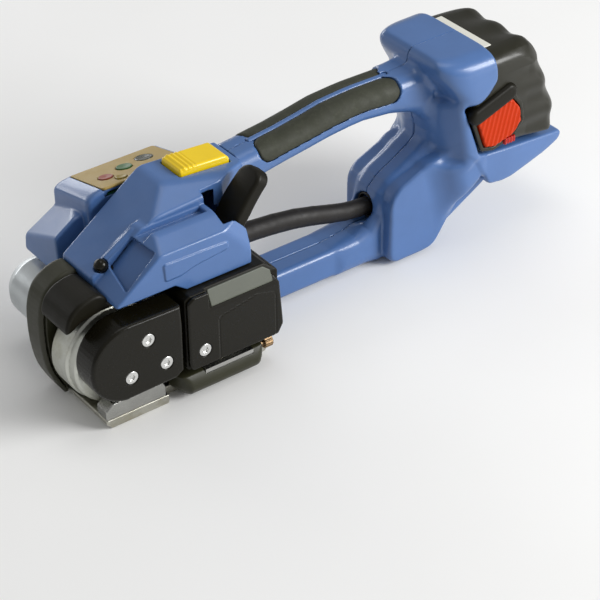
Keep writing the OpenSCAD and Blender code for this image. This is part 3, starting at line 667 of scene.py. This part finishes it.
def wire_hole(x, y, z):
    """Opening between the two head covers."""
    return box(x, y, z, (-136, 8, 84), (-80, 20, 98), 1.0)


def head_left(x, y, z):
    near = convex(x, y, z, NEAR_BLOCK, 1.5)
    hump = convex(x, y, z, HUMP_BLOCK, 1.9)
    # narrow groove between the near block and the side of the hump
    groove = np.maximum(slab(y, -38.4, -31.6), slab(z, 109.5, 120))
    near = smax(near, -np.maximum(groove, x + 97), 1.4)
    d = smin(smax(near, near_floor(x) - z, 1.0), smax(hump, hump_floor(x) - z, 1.5), 1.0)
    rail = capsule(x, y, z, (-141.5, -25.6, 110.2), (-161.5, -25.8, 98.6), 1.7)
    d = smin(d, rail, 1.2)
    plate = prism([(-140, 101), (-94, 99.8), (-93, 94.5), (-117, 92), (-128, 88.8), (-139, 88.8)],
                  x, y, z, -57.0, -54, 1.6, 0.8)
    d = smin(d, plate, 0.9)
    d = np.minimum(d, prism(SHROUD, x, y, z, -12.2, 13.8, 2.0, 1.2))
    # walls, open below
    near_in = np.maximum(convex(x, y, z, NEAR_BLOCK, 1.5, WALL), z - 105.5)
    hump_in = np.maximum(convex(x, y, z, HUMP_BLOCK, 2.0, WALL), 60 - z)
    shroud_in = np.maximum(polygon(SHROUD, x, z) + WALL, slab(y, -14, 11))
    inside = np.minimum(near_in, np.maximum(hump_in, hump_inner_floor(x) - z))
    d = np.maximum(d, -np.minimum(inside, np.maximum(shroud_in, z - 86)))
    # pocket in the front slope
    depth = plane(x, y, z, *FRONT_SLOPE)
    s = -0.803 * (x + 141) - 0.596 * (z - 107.5)
    pocket = meet(polygon([(0.6, -50.8), (1.8, -28.6), (23.6, -29.8), (29.4, -53.2)], s, y, 1.2),
                  -(depth + 4.6), 0.5)
    bottom = meet(polygon([(-1.4, -52.8), (-0.6, -27), (26, -27.5), (31, -54)], s, y, 1.2),
                  np.abs(depth + 6.2) - 1.7, 0.5)
    d = np.minimum(smax(d, -pocket, 1.0), bottom)
    # openings: lever, tension button, cable, cap plug, wires
    slot = box(x, y, z, (-93, -51, 92), (-60, -26.5, 135), 1.0)
    slot = np.minimum(slot, box(x, y, z, (-80, -51, 84), (-68, -26.5, 96), 1.0))
    slot = np.minimum(slot, box(x, y, z, (-95, -51, 92), (-85, -26.5, 107), 1.0))
    arm = box(x, y, z, (-112, -50, 72), (-88, -26.8, 97), 2.0)
    button = box(x, y, z, (-98, -13, 118), (-60, 9.5, 140), 1.2)
    port = np.maximum(away(y, z, CABLE_PORT) - 9.4, slab(x, -82, -70))
    plug = capsule(x, y, z, PLUG, (PLUG[0] - 8, PLUG[1], PLUG[2] + 6.7), 4.7)
    for cut in (slot, arm, button, port, plug, wire_hole(x, y, z)):
        d = smax(d, -cut, 0.6)
    return d


KEY_BOX = [((0, 0.2588, 0.9659), (-105, 35.5, 111.7)), ((-1, 0, 0), (-148.2, 0, 0)),
           ((1, 0, 0), (-71, 0, 0)), ((0, 1, 0), (0, 58, 0)), ((0, -1, 0), (0, 14, 0)),
           ((0, 0, -1), (0, 0, 67)), ((-0.45, 0.2, 0.87), (-141, 35, 111.9))]
NOSE_BOX = [((-0.47, 0.33, 0.82), (-169.5, 30, 88.0)), ((0, 1, 0), (0, 57.8, 0)),
            ((0, -1, 0.2), (0, 18, 84)), ((0, 0, -1), (0, 0, 65)), ((-1, 0, 0.06), (-170, 0, 85)),
            ((1, 0, 0), (-141, 0, 0)), ((0, 0, 1), (0, 0, 100))]


def key_frame(x, y, z):
    """Coordinates along, up and out of the sloping keypad."""
    c, s = math.cos(math.radians(15)), math.sin(math.radians(15))
    dy, dz = y - 35.5, z - 111.72
    return x + 105, dy * c - dz * s, dy * s + dz * c


def head_right(x, y, z):
    d = smin(convex(x, y, z, KEY_BOX, 4.0), convex(x, y, z, NOSE_BOX, 2.2), 1.2)
    inside = np.minimum(convex(x, y, z, KEY_BOX, 2.0, WALL),
                        convex(x, y, z, NOSE_BOX, 1.5, WALL))
    d = np.maximum(d, -inside)
    u, v, w = key_frame(x, y, z)
    window = np.maximum(box(u, v, w, (-31.4, -21.4, -6), (31.4, 21.4, 6), 2.0), 12 - y)
    d = smax(d, -window, 0.5)
    rim = np.maximum(box(u, v, w, (-33.5, -23.5, -5.5), (33.5, 23.5, -1.8), 2.0),
                     -box(u, v, w, (-29, -19, -9), (29, 19, 3), 2.0))
    return smax(np.minimum(d, np.maximum(rim, 15.6 - y)), -wire_hole(x, y, z), 0.5)


HEAD_STEP = 0.85
solid("head_left", head_left, (-178, -59, 32), (-52, 16, 130), HEAD_STEP, "frame",
      ["head_left_cover"], BLUE)
solid("head_right", head_right, (-175, 11, 64), (-68, 61, 122), HEAD_STEP, "frame",
      ["head_right_cover"], BLUE)


def keypad(x, y, z):
    u, v, w = key_frame(x, y, z)
    d = meet(box(u, v, w, (-31, -21, -3), (31, 21, 3), 2.0), slab(w, -1.6, 0.1), 0.3)
    for spot, r in (((-2, 2), 5.6), ((-19, -4), 5.1), ((-13, -13), 4.1), ((15, 6), 6.2)):
        d = np.maximum(d, r - away(u, v, spot))
    return d


def key_cap(a, b, r, w0, w1, dish):
    """Round key from w0 to w1 on the keypad, with a hollow of depth dish in its top."""
    def field(x, y, z):
        u, v, w = key_frame(x, y, z)
        q = away(u, v, (a, b))
        top = w1 - dish * np.clip(1 - q / r, 0, 1)
        return meet(q - r, np.maximum(w - top, w0 - w), 0.5)
    return field


solid("keypad", keypad, (-138, 13, 104), (-72, 58, 120), 0.7, "frame", ["keypad_panel"],
      KEYPAD)
KEY_HEIGHTS = (-1.2, 0.8, 0.5)
KEY_CAPS = [
    ("display", "display_window", "frame", DISPLAY, "display", (15, 6, 6), (-1.6, 0.3, 0.3)),
    ("weld_key_cap", "weld_button", "weld_key", GREEN, "green_key", (-2, 2, 5.2), KEY_HEIGHTS),
    ("mode_key_cap", "mode_button", "mode_key", KEY_RED, "red_key", (-19, -4, 4.7), KEY_HEIGHTS),
    ("set_key_cap", "set_button", "set_key", OCHRE, "ochre_key", (-13, -13, 3.7), KEY_HEIGHTS)]
for name, node, body, material, slot_name, (u, v, r), heights in KEY_CAPS:
    a, b = u - 105, v + 35.5
    c = 111.72 - v * 0.2588
    solid(name, key_cap(u, v, r, *heights), (a - 8, b - 8, c - 5), (a + 8, b + 8, c + 5), 0.4,
          body, [node], material)


def tension_button(x, y, z):
    d = prism([(-97.5, 112), (-97.5, 127.4), (-95, 129.4), (-63, 127.2), (-60.5, 124.6),
               (-60.5, 112)], x, y, z, -12.3, 9, 1.2, 1.8)
    ribs = 0.35 * np.cos((x + 95) * 2 * math.pi / 3.2) * (x < -84.6)
    d = d + ribs * np.clip((z - 127) / 2, 0, 1)
    return np.maximum(d, -box(x, y, z, (-95, -10, 105), (-63, 6.5, 124), 1.0))


def lever(x, y, z):
    s = (x + 84) * 0.595 + (z - 103) * 0.804
    t = (x + 84) * 0.804 - (z - 103) * 0.595
    outline = polygon([(-48.8, -6), (-49.6, 10), (-48.6, 36.4), (-29, 36.4), (-27.4, 10),
                       (-28.0, -6)], y, s, 7.5)
    bow = t - 0.0045 * (s - 14) ** 2 + 0.6 * np.cos((y + 38.5) / 11 * 1.5)
    paddle = meet(outline, slab(bow, -0.6, 9.0), 2.4)
    arm = prism([(-82.5, 101.5), (-76, 97), (-94, 77.4), (-102, 77), (-106.6, 82), (-105, 89.5)],
                x, y, z, -46.5, -30.5, 4.0, 2.0)
    d = smin(paddle, arm, 4.0)
    return np.maximum(d, 3.0 - away(x, z, LEVER_PIN))


def cap_plug(x, y, z):
    u, v, w = x - PLUG[0], y - PLUG[1], z - PLUG[2]
    ball = np.sqrt(u * u + v * v + w * w) - 4.3
    ball = smax(ball, w * 0.643 - u * 0.766 - 3.9, 0.8)
    stem = capsule(u, v, w, (1, 0, -0.8), (6, 0, -5), 3.0)
    return smin(ball, stem, 0.6)


solid("button_cap", tension_button, (-100, -15, 109), (-58, 12, 133), 0.7, "tension_key",
      ["tension_button"], YELLOW)
solid("lever", lever, (-110, -52, 74), (-54, -25, 134), 0.8, "lever", ["rocker_lever"],
      BLACK)
solid("plug", cap_plug, (-172, -34, 87), (-155, -22, 103), 0.5, "frame", ["cap_plug"],
      GLOSS)


# ---- cable ----
# X, Y, Z and radius along the cable
ROUTE = [(-79.2, *CABLE_PORT, 7.2), (-68, -1, 57.2, 7.2), (-54, -0.5, 56.4, 7.1),
         (-38, 0, 55.4, 6.9), (-20, 0, 53.6, 6.8), (-3, 0, 51, 6.7), (12, 0, 47.4, 6.5),
         (26, 0, 43.4, 6.4), (38, 0, 40.4, 6.2), (50, 0, 38.8, 6.1), (58, 0, CABLE_REAR, 6.1)]


def sleeve(x, y, z):
    d = None
    for (ax, ay, az, ar), (bx, by, bz, br) in zip(ROUTE, ROUTE[1:]):
        dx, dy, dz = bx - ax, by - ay, bz - az
        length2 = dx * dx + dy * dy + dz * dz
        t = np.clip(((x - ax) * dx + (y - ay) * dy + (z - az) * dz) / length2, 0, 1)
        f = np.sqrt((x - ax - dx * t) ** 2 + ((y - ay - dy * t) * 1.04) ** 2
                    + (z - az - dz * t) ** 2) - (ar + (br - ar) * t)
        d = f if d is None else smin(d, f, 0.4)
    return np.maximum(d, np.maximum(-79.2 - x, x - 58))


def bush(x0, yc, zc):
    def field(x, y, z):
        r = away(y, z, (yc, zc))
        return meet(np.abs(r - 8.5) - 0.9, slab(x, x0, x0 + 4), 0.6)
    return field


solid("cable", sleeve, (-81, -10, 33), (60, 10, 67), 1.0, "frame", ["cable_sleeve"],
      SLEEVE)
solid("bush_front", bush(-79.5, *CABLE_PORT), (-81, -12, 47), (-74, 10, 69), 0.6, "frame",
      ["cable_bushes"], SLEEVE)
solid("bush_rear", bush(56.5, 0, CABLE_REAR), (55, -11, 28), (62, 11, 50), 0.6, "frame",
      ["cable_bushes"], SLEEVE)


# ---- front: guard, drum, wheel cover, motor ----
def curve(points, n=4):
    """More points on a smooth line through the given ones."""
    p = [points[0]] + points + [points[-1]]
    out = []
    for a, b, c, d in zip(p, p[1:], p[2:], p[3:]):
        for i in range(n):
            t = i / n
            out.append([0.5 * (2 * q + (r - o) * t + (2 * o - 5 * q + 4 * r - e) * t ** 2
                               + (3 * q - o - 3 * r + e) * t ** 3)
                        for o, q, r, e in zip(a, b, c, d)])
    return out + [points[-1]]


GUARD_SIDE = curve([(-194, 10), (-199.4, 22), (-202.4, 36), (-203.4, 52), (-202.4, 68),
                    (-198, 80), (-190, 87), (-182, 89.8), (-175.5, 90)])
GUARD_SIDE += [(-171.5, 83.5), (-146.6, 83.5), (-146.6, 6.8), (-187.2, 6.8), (-187.2, 3),
               (-190, 3)]


def guard(x, y, z):
    d = prism(GUARD_SIDE, x, y, z, -15, 4, 1.0, 3.2)
    rail = np.maximum(np.abs(polygon(GUARD_SIDE, x, z) + 3.2) - 0.5, slab(y, -16, -13.6))
    d = smax(d, -rail, 0.6)
    # the bore for the drum is 2 mm above the wheel's axis
    return smax(d, 24 - away(x, z, (-168, 42)), 1.0)


HOOD_SIDE = curve([(-202, 70), (-202.2, 74), (-199.6, 81), (-194, 86.4), (-186.5, 89.2),
                   (-179, 89.6), (-174.6, 86.8), (-171, 81.4), (-165, 79.8)])
HOOD_SIDE += [(-150, 79.3), (-150, 77.4), (-178, 77.4), (-192, 75.2), (-198, 71)]


def guard_hood(x, y, z):
    return prism(HOOD_SIDE, x, y, z, -45.7, -15, 0.6, 2.2)


def drum(x, y, z):
    r = away(x, z, WHEEL_AXIS)
    d = polygon([(0, -46), (29.6, -46), (31.2, -44.6), (31.2, -38.4), (32.9, -37.2),
                 (32.9, -21), (31.4, -19), (19.4, -19), (19, -17), (19, 6), (0, 6)], r, y, 0.4)
    arm = prism([(-150, 22), (-150, 66), (-116, 61), (-105, 58), (-104, 46), (-112, 42),
                 (-130, 28)], x, y, z, -28.5, -22, 3.0, 1.2)
    d = smin(d, arm, 2.0)
    for radius, y0, y1 in ((29, -42, -25), (13, -47, -41.9), (9, -25.1, 7)):
        d = np.maximum(d, -np.maximum(r - radius, slab(y, y0, y1)))
    return np.maximum(d, 4 - away(x, z, ROCKER_PIN))


COVER_SIDE = [(-172.4 + 26.8 * math.cos(math.radians(a)), 49 + 26.8 * math.sin(math.radians(a)))
              for a in range(90, 265, 6)]
COVER_SIDE += [(-174, 22.6), (-140, 23.2), (-134.6, 27), (-134.2, 60), (-135, 74.6)]
COVER_SPOTS = [(-159, 60), (-147, 38), (-172, 38)]
WELD_SPOT = (-119, 35)


def screw_seat(d, x, y, z, spot):
    """The near face with a recess and a bore for one screw."""
    q = away(x, z, spot)
    d = smax(d, -np.maximum(q - SCREW_SEAT, y + 64.4), 0.4)
    return np.maximum(d, -np.maximum(q - SCREW_BORE, y + 62.8))


def cover(x, y, z):
    d = meet(polygon(COVER_SIDE, x, z), slab(y, NEAR_FACE, -46.2), 2.4)
    r = away(x, z, WHEEL_AXIS)
    d = smax(d, -np.maximum(r - 23.6, slab(y, -63, -40)), 0.5)
    d = smax(d, -box(x, y, z, (-184, -63, 8), (-152, -40, 30), 1.0), 0.5)
    for spot in COVER_SPOTS:
        d = screw_seat(d, x, y, z, spot)
    return d


def screw(spot):
    """Cap screw with a hexagon socket, seen from the near side."""
    def field(x, y, z):
        q = away(x, z, spot)
        head = meet(q - 4.4, slab(y, -65.95, -64.4), 0.6)
        u, v = np.abs(x - spot[0]), np.abs(z - spot[1])
        hexagon = np.maximum(v, u * 0.866 + v * 0.5) - 1.9
        head = np.maximum(head, -np.maximum(hexagon, y + 65.0))
        return np.minimum(head, np.maximum(q - 2.2, slab(y, -64.6, -63.1)))
    return field


def motor_housing(x, y, z):
    r = away(x, z, WHEEL_AXIS)
    d = polygon([(0, 6), (20.6, 6), (20.6, 51), (17.6, 57.9), (0, 57.9)], r, y, 3.0)
    d = np.minimum(d, polygon([(0, 6), (20.6, 6), (20.6, 14), (0, 14)], r, y, 0.4))
    d = d + 0.35 * np.clip(1 - np.abs(y - 16) / 0.8, 0, 1)
    d = np.maximum(d, -np.maximum(r - 17.6, slab(y, 8, 52)))
    return np.maximum(d, -np.maximum(r - 9, slab(y, 5, 9)))


solid("guard", guard, (-206, -18, 0), (-144, 7, 93), 0.9, "frame", ["front_guard"],
      GUARD)
solid("hood_plate", guard_hood, (-206, -48, 68), (-147, -12, 93), 0.8, "frame", ["guard_hood"],
      BLACK)
solid("drum", drum, (-203, -48, 5), (-101, 8, 75), 0.9, "rocker", ["drum_casting"],
      CAST)
solid("cover", cover, (-203, -68, 20), (-131, -44, 79), 0.8, "rocker", ["wheel_cover"],
      GLOSS)
for i, (a, b) in enumerate(COVER_SPOTS):
    solid(f"cover_screw_{i + 1}", screw((a, b)), (a - 6, -67, b - 6), (a + 6, -62, b + 6), 0.3,
          "rocker", ["cover_screws"], ZINC)
solid("motor_housing", motor_housing, (-190, 4, 18), (-146, 60, 62), 0.9, "rocker",
      ["gear_housing"], MOTOR_CAST)


# ---- welding unit, strap table, foot ----
WELD_SIDE = [(-131, 24), (-131, 74), (-127, 76.3), (-70, 76), (-62, 70), (-62, 24),
             (-66, 22.8), (-130, 22.8)]
UNIT_SLOPE = ((0, -0.903, 0.43), (0, NEAR_FACE, 64.5))


def unit_slope(x, y, z):
    """The sloping upper edge of the welding unit, behind its front end."""
    return np.minimum(plane(x, y, z, *UNIT_SLOPE) + 0.5, x + 115)


def weld_housing(x, y, z):
    d = prism(WELD_SIDE, x, y, z, -63, -47.5, 2.5, 0.8)
    d = np.minimum(d, prism(WELD_SIDE, x, y, z, -48.6, -30, 2.5, 0.8))
    d = np.minimum(d, prism([(-74, 6.7), (-74, 26), (-62, 26), (-62, 6.7)], x, y, z, -49.5, -30,
                            1.0, 0.8))
    d = smax(d, unit_slope(x, y, z), 0.6)
    spaces = [((-126, -60.4, 28), (-66, -36.4, 72.5)), ((-118.6, -63.1, 20), (-81.4, -45.1, 32)),
              ((-80.6, -63.1, 20), (-76.2, -45.1, 32))]
    for lo, hi in spaces:
        d = np.maximum(d, -box(x, y, z, lo, hi, 0.5))
    # room for the lever's hub, and holes for the two shafts
    d = np.maximum(d, -box(x, y, z, (-111, -49.5, 74.4), (-84, -28, 80), 0.5))
    for spot, r in (((-94, 62), 3.4), ((-100, 36), 4.0)):
        d = np.maximum(d, -np.maximum(away(x, z, spot) - r, slab(y, -42, -29)))
    return d


def weld_cover(x, y, z):
    d = prism([(-130.5, 30), (-130.5, 73), (-126, 76), (-70, 75), (-62.4, 62), (-60, 30),
               (-64, 23), (-129, 23)], x, y, z, NEAR_FACE, -62.9, 3.0, 1.4)
    d = smax(d, unit_slope(x, y, z), 0.8)
    # a shallow step round the lower rear of the face
    step = polygon([(-108, 20), (-108, 55), (-80, 60), (-66, 56), (-66, 20)], x, z, 3.0)
    d = d + 0.35 * np.clip(1 - np.abs(step) / 0.7, 0, 1)
    return screw_seat(d, x, y, z, WELD_SPOT)


# thin sheet over the sloping facet of the welding unit, coloured as a painted highlight
def weld_sheen_sheet(x, y, z):
    slope = plane(x, y, z, *UNIT_SLOPE)
    along = (y - NEAR_FACE) * 0.43 + (z - 64.5) * 0.903
    d = meet(polygon([(-113.4, 0.4), (-113.4, 11.6), (-72, 11.6), (-67.5, 8), (-67.5, 0.4)],
                     x, along, 1.0), slab(slope, -1.9, 0.1), 0.5)
    return np.maximum(d, -65.9 - y)


def circle(cu, cv, r, count):
    turns = [2 * math.pi * i / count for i in range(count)]
    return [(cu + r * math.cos(a), cv + r * math.sin(a)) for a in turns]


GUIDE = hull([(x, y, z) for x in (-130, -78) for y, z in circle(-57.7, 9.7, 8.2, 14)]
             + [(x, y, z) for x in (-139, -74) for y in (-50.8, -50.4) for z in (8.3, 18)]
             + [(x, y, z) for x in (-134, -74) for y in (-62, -60) for z in (8.3, 18)], 1.2)


def guide(x, y, z):
    d = smax(GUIDE(x, y, z), z - 17.9, 0.8)
    return smax(d, -box(x, y, z, (-118, -63.5, 12.5), (-82, -50.5, 22), 0.3), 0.4)


def knob(x, y, z):
    r = away(y, z, (-56, 13))
    a = np.arctan2(z - 13, y + 56)
    head = meet(r - 3.85 + 0.18 * np.cos(14 * a), slab(x, -70.1, -63.6), 0.8)
    return np.minimum(head, np.maximum(r - 2, slab(x, -74, -69)))


def base(x, y, z):
    d = prism([(-187, 3.5), (-183.5, 0), (-142, 0), (-142, 6.6), (-187, 6.6)], x, y, z,
              FOOT_NEAR, 16, 0.6, 0.7)
    d = np.minimum(d, prism([(-143, 0), (-78, 0), (-76.3, 2), (-76.3, 6.6), (-143, 6.6)], x, y, z,
                            -50, 16, 0.6, 0.7))
    return np.minimum(d, prism([(-79, 0), (-64, 0), (-62, 2), (-62, 6.6), (-79, 6.6)], x, y, z,
                               -50, -18, 0.6, 0.7))


def gripper(x, y, z):
    d = prism([(-187, 6.6), (-187, 13.6), (-182, 17.8), (-146, 17.8), (-144, 14), (-144, 6.6)],
              x, y, z, FOOT_NEAR, -46.5, 1.2, 1.0)
    teeth = np.abs(((x + 181.5) % 3.0) - 1.5) - 1.0
    groove = np.maximum(np.maximum(-teeth, z - 18.5), 17.2 - z)
    return np.maximum(d, -np.maximum(groove, slab(x, -181.5, -148)))


solid("weld_body", weld_housing, (-141, -65, 4), (-59, -27, 79), 0.9, "frame",
      ["weld_housing"], BLACK)
solid("weld_face", weld_cover, (-141, -68, 20), (-57, -60, 79), 0.8, "frame",
      ["weld_cover"], GLOSS)
# the painted highlight on the welding unit's sloping facet
solid("weld_sheen_sheet", weld_sheen_sheet, (-116, -68, 60), (-64, -56, 80), 0.7, "frame",
      ["weld_cover"], SLOPE_SHEEN)
solid("weld_face_screw", screw(WELD_SPOT), (-125, -67, 29), (-113, -62, 41), 0.3, "frame",
      ["weld_screw"], ZINC)
solid("guide", guide, (-142, -68, 0), (-71, -48, 20), 0.7, "frame", ["strap_guide"],
      GUARD)
solid("knob", knob, (-75, -61, 8), (-62, -51, 18), 0.4, "frame", ["guide_knob"],
      BRONZE)
solid("base", base, (-189, -66, -2), (-60, 18, 9), 0.9, "frame", ["base_plate"],
      STEEL)
solid("gripper", gripper, (-189, -66, 5), (-142, -45, 20), 0.6, "frame", ["gripper_plate"],
      HARD)


# ---- battery ----
RELEASE = [(117.5, 99), (121, 101.5), (147, 107.5), (154, 99), (156, 88), (149, 80), (133, 76),
           (125, 78)]


def pack(x, y, z):
    ay = np.abs(y)
    rear = np.clip((x - 138) / 26, 0, 1) ** 1.3
    top = np.clip((z - 118) / 20, 0, 1)
    side = np.clip((ay - 24) / 12, 0, 1)
    lobes = top * (0.5 - 0.5 * np.cos(2 * math.pi * y / 26)) * (ay < 39)
    lobes = np.maximum(lobes, side * (0.5 - 0.5 * np.cos(2 * math.pi * (z - 88) / 22)))
    d = PACK_BODY(x, y, z) + 2.0 * rear * lobes
    recess = prism(RELEASE, x, ay, z, 34.4, 44, 0.0, 0.0) - 0.45
    d = smax(d, -recess, 0.5)
    bezel = np.abs(polygon(RELEASE, x, z) - 2.2) - 1.4
    d = smin(d, meet(bezel, np.abs(ay - 38.4) - 1.5, 0.6), 0.5)
    d = np.maximum(d, -box(x, y, z, (133.8, -24.4, 142.0), (141.2, 27.4, 146), 0.6))
    for yc in (-8, 0, 8):
        d = np.maximum(d, -box(x, y, z, (105, yc - 1.5, 94.3), (124, yc + 1.5, 101.7), 0.3))
    d = smax(d, -box(x, y, z, (141.6, -41, 73), (152.6, -34.6, 78.4), 0.4), 0.3)
    return np.maximum(d, ay - 41.5)


def pack_hollow(x, y, z):
    bay = polygon([(118, 112), (120, 136), (160, 136), (166, 128), (180, 84), (178, 78),
                   (134, 78)], x, z)
    return np.maximum(pack(x, y, z), -np.maximum(bay, np.abs(y) - 31.5))


def release(side):
    def field(x, y, z):
        d = prism(RELEASE, x, side * y, z, 36.5, 41.6, 1.6, 1.2)
        across = 0.97 * x - 0.24 * z
        ribs = 0.5 * (0.5 + 0.5 * np.cos(across * 2 * math.pi / 3.9))
        return d + ribs * np.clip((side * y - 40) / 1.2, 0, 1)
    return field


def lip(side):
    def field(x, y, z):
        d = capsule(x, side * y, z, (117.5, 38.2, 103.6), (144.6, 38.2, 113.0), 6.4)
        return smax(d, side * y - 42.6, 1.6)
    return field


def tab(x, y, z):
    d = box(x, y, z, (142, -40.8, 73.4), (152, -35.6, 78), 0.8)
    return d + 0.3 * np.cos((x - 142) * 2 * math.pi / 2.5) * (y < -39.5)


def label(x, y, z):
    return box(x, y, z, (134.1, -24, 141.9), (140.8, 27, 142.85), 0.3)


solid("pack", pack_hollow, (104, -44, 60), (202, 44, 145), 1.15, "battery", ["battery_case"],
      PACK)
for name, side in (("near", -1), ("far", 1)):
    y0, y1 = sorted((34 * side, 43 * side))
    solid(f"release_{name}", release(side), (115, y0, 74), (158, y1, 110), 0.7,
          f"release_{name}", [f"{name}_release"], ORANGE)
for name, side in (("near", -1), ("far", 1)):
    y0, y1 = sorted((32 * side, 45 * side))
    solid(f"lip_{name}", lip(side), (110, y0, 97), (154, y1, 122), 0.8, "battery",
          ["battery_lips"], BLACK)
solid("tab", tab, (140, -43, 72), (154, -34, 80), 0.45, "battery", ["latch_tab"],
      RED)
solid("label", label, (133, -26, 141), (143, 29, 144), 0.4, "battery", ["battery_label"],
      LABEL)


# ---- stage, light, camera ----
def area_light(name, at, aim, size, power):
    data = bpy.data.lights.new(name, "AREA")
    data.shape = "RECTANGLE"
    data.size, data.size_y = size
    data.energy = power
    ob = bpy.data.objects.new(name, data)
    bpy.context.scene.collection.objects.link(ob)
    ob.location = at
    ob.rotation_mode = "QUATERNION"
    ob.rotation_quaternion = (Vector(aim) - Vector(at)).to_track_quat("-Z", "Y")


scene = bpy.context.scene
scene.view_settings.view_transform = "Standard"
scene.view_settings.look = "None"

floor_mesh = bpy.data.meshes.new("floor")
floor_mesh.from_pydata([(-6, -6, 0), (6, -6, 0), (6, 6, 0), (-6, 6, 0)], [], [(0, 1, 2, 3)])
floor = bpy.data.objects.new("floor", floor_mesh)
scene.collection.objects.link(floor)
floor.location.z = -0.0003
fs = Shader("floor_paint")
fs.link(fs.mix(fs.span(fs.noise(3.0), 0.0, 1.0), (0.86, 0.86, 0.85), (0.89, 0.89, 0.885)),
        fs.bsdf.inputs["Base Color"])
fs.bsdf.inputs["Roughness"].default_value = 0.9
fs.bsdf.inputs["Specular IOR Level"].default_value = 0.1
floor_mesh.materials.append(fs.mat)

world = bpy.data.worlds.new("studio")
scene.world = world
world.use_nodes = True
world.node_tree.nodes["Background"].inputs["Color"].default_value = (1.0, 1.0, 1.0, 1)
world.node_tree.nodes["Background"].inputs["Strength"].default_value = 0.36

area_light("key", (1.1, -1.25, 0.85), (0.0, 0.0, 0.06), (0.9, 0.8), 36.0)
area_light("top", (0.1, 0.1, 1.5), (0.0, 0.0, 0.05), (1.0, 0.7), 3.5)
area_light("back_strip", (-0.2, 1.5, 0.42), (-0.02, 0.0, 0.08), (1.6, 0.3), 8.0)

# camera axes and place, in metres
right = Vector((0.803938, -0.594629, -0.009974))
up = Vector((0.349691, 0.459084, 0.816675))
back = Vector((-0.48104, -0.660044, 0.577011))
camera_data = bpy.data.cameras.new("camera")
camera_data.lens = 122.166
camera_data.clip_start = 0.05
camera = bpy.data.objects.new("camera", camera_data)
scene.collection.objects.link(camera)
camera.location = (-0.66045, -0.90319, 0.77724)
camera.rotation_mode = "QUATERNION"
camera.rotation_quaternion = Matrix((right, up, back)).transposed().to_quaternion()
scene.camera = camera
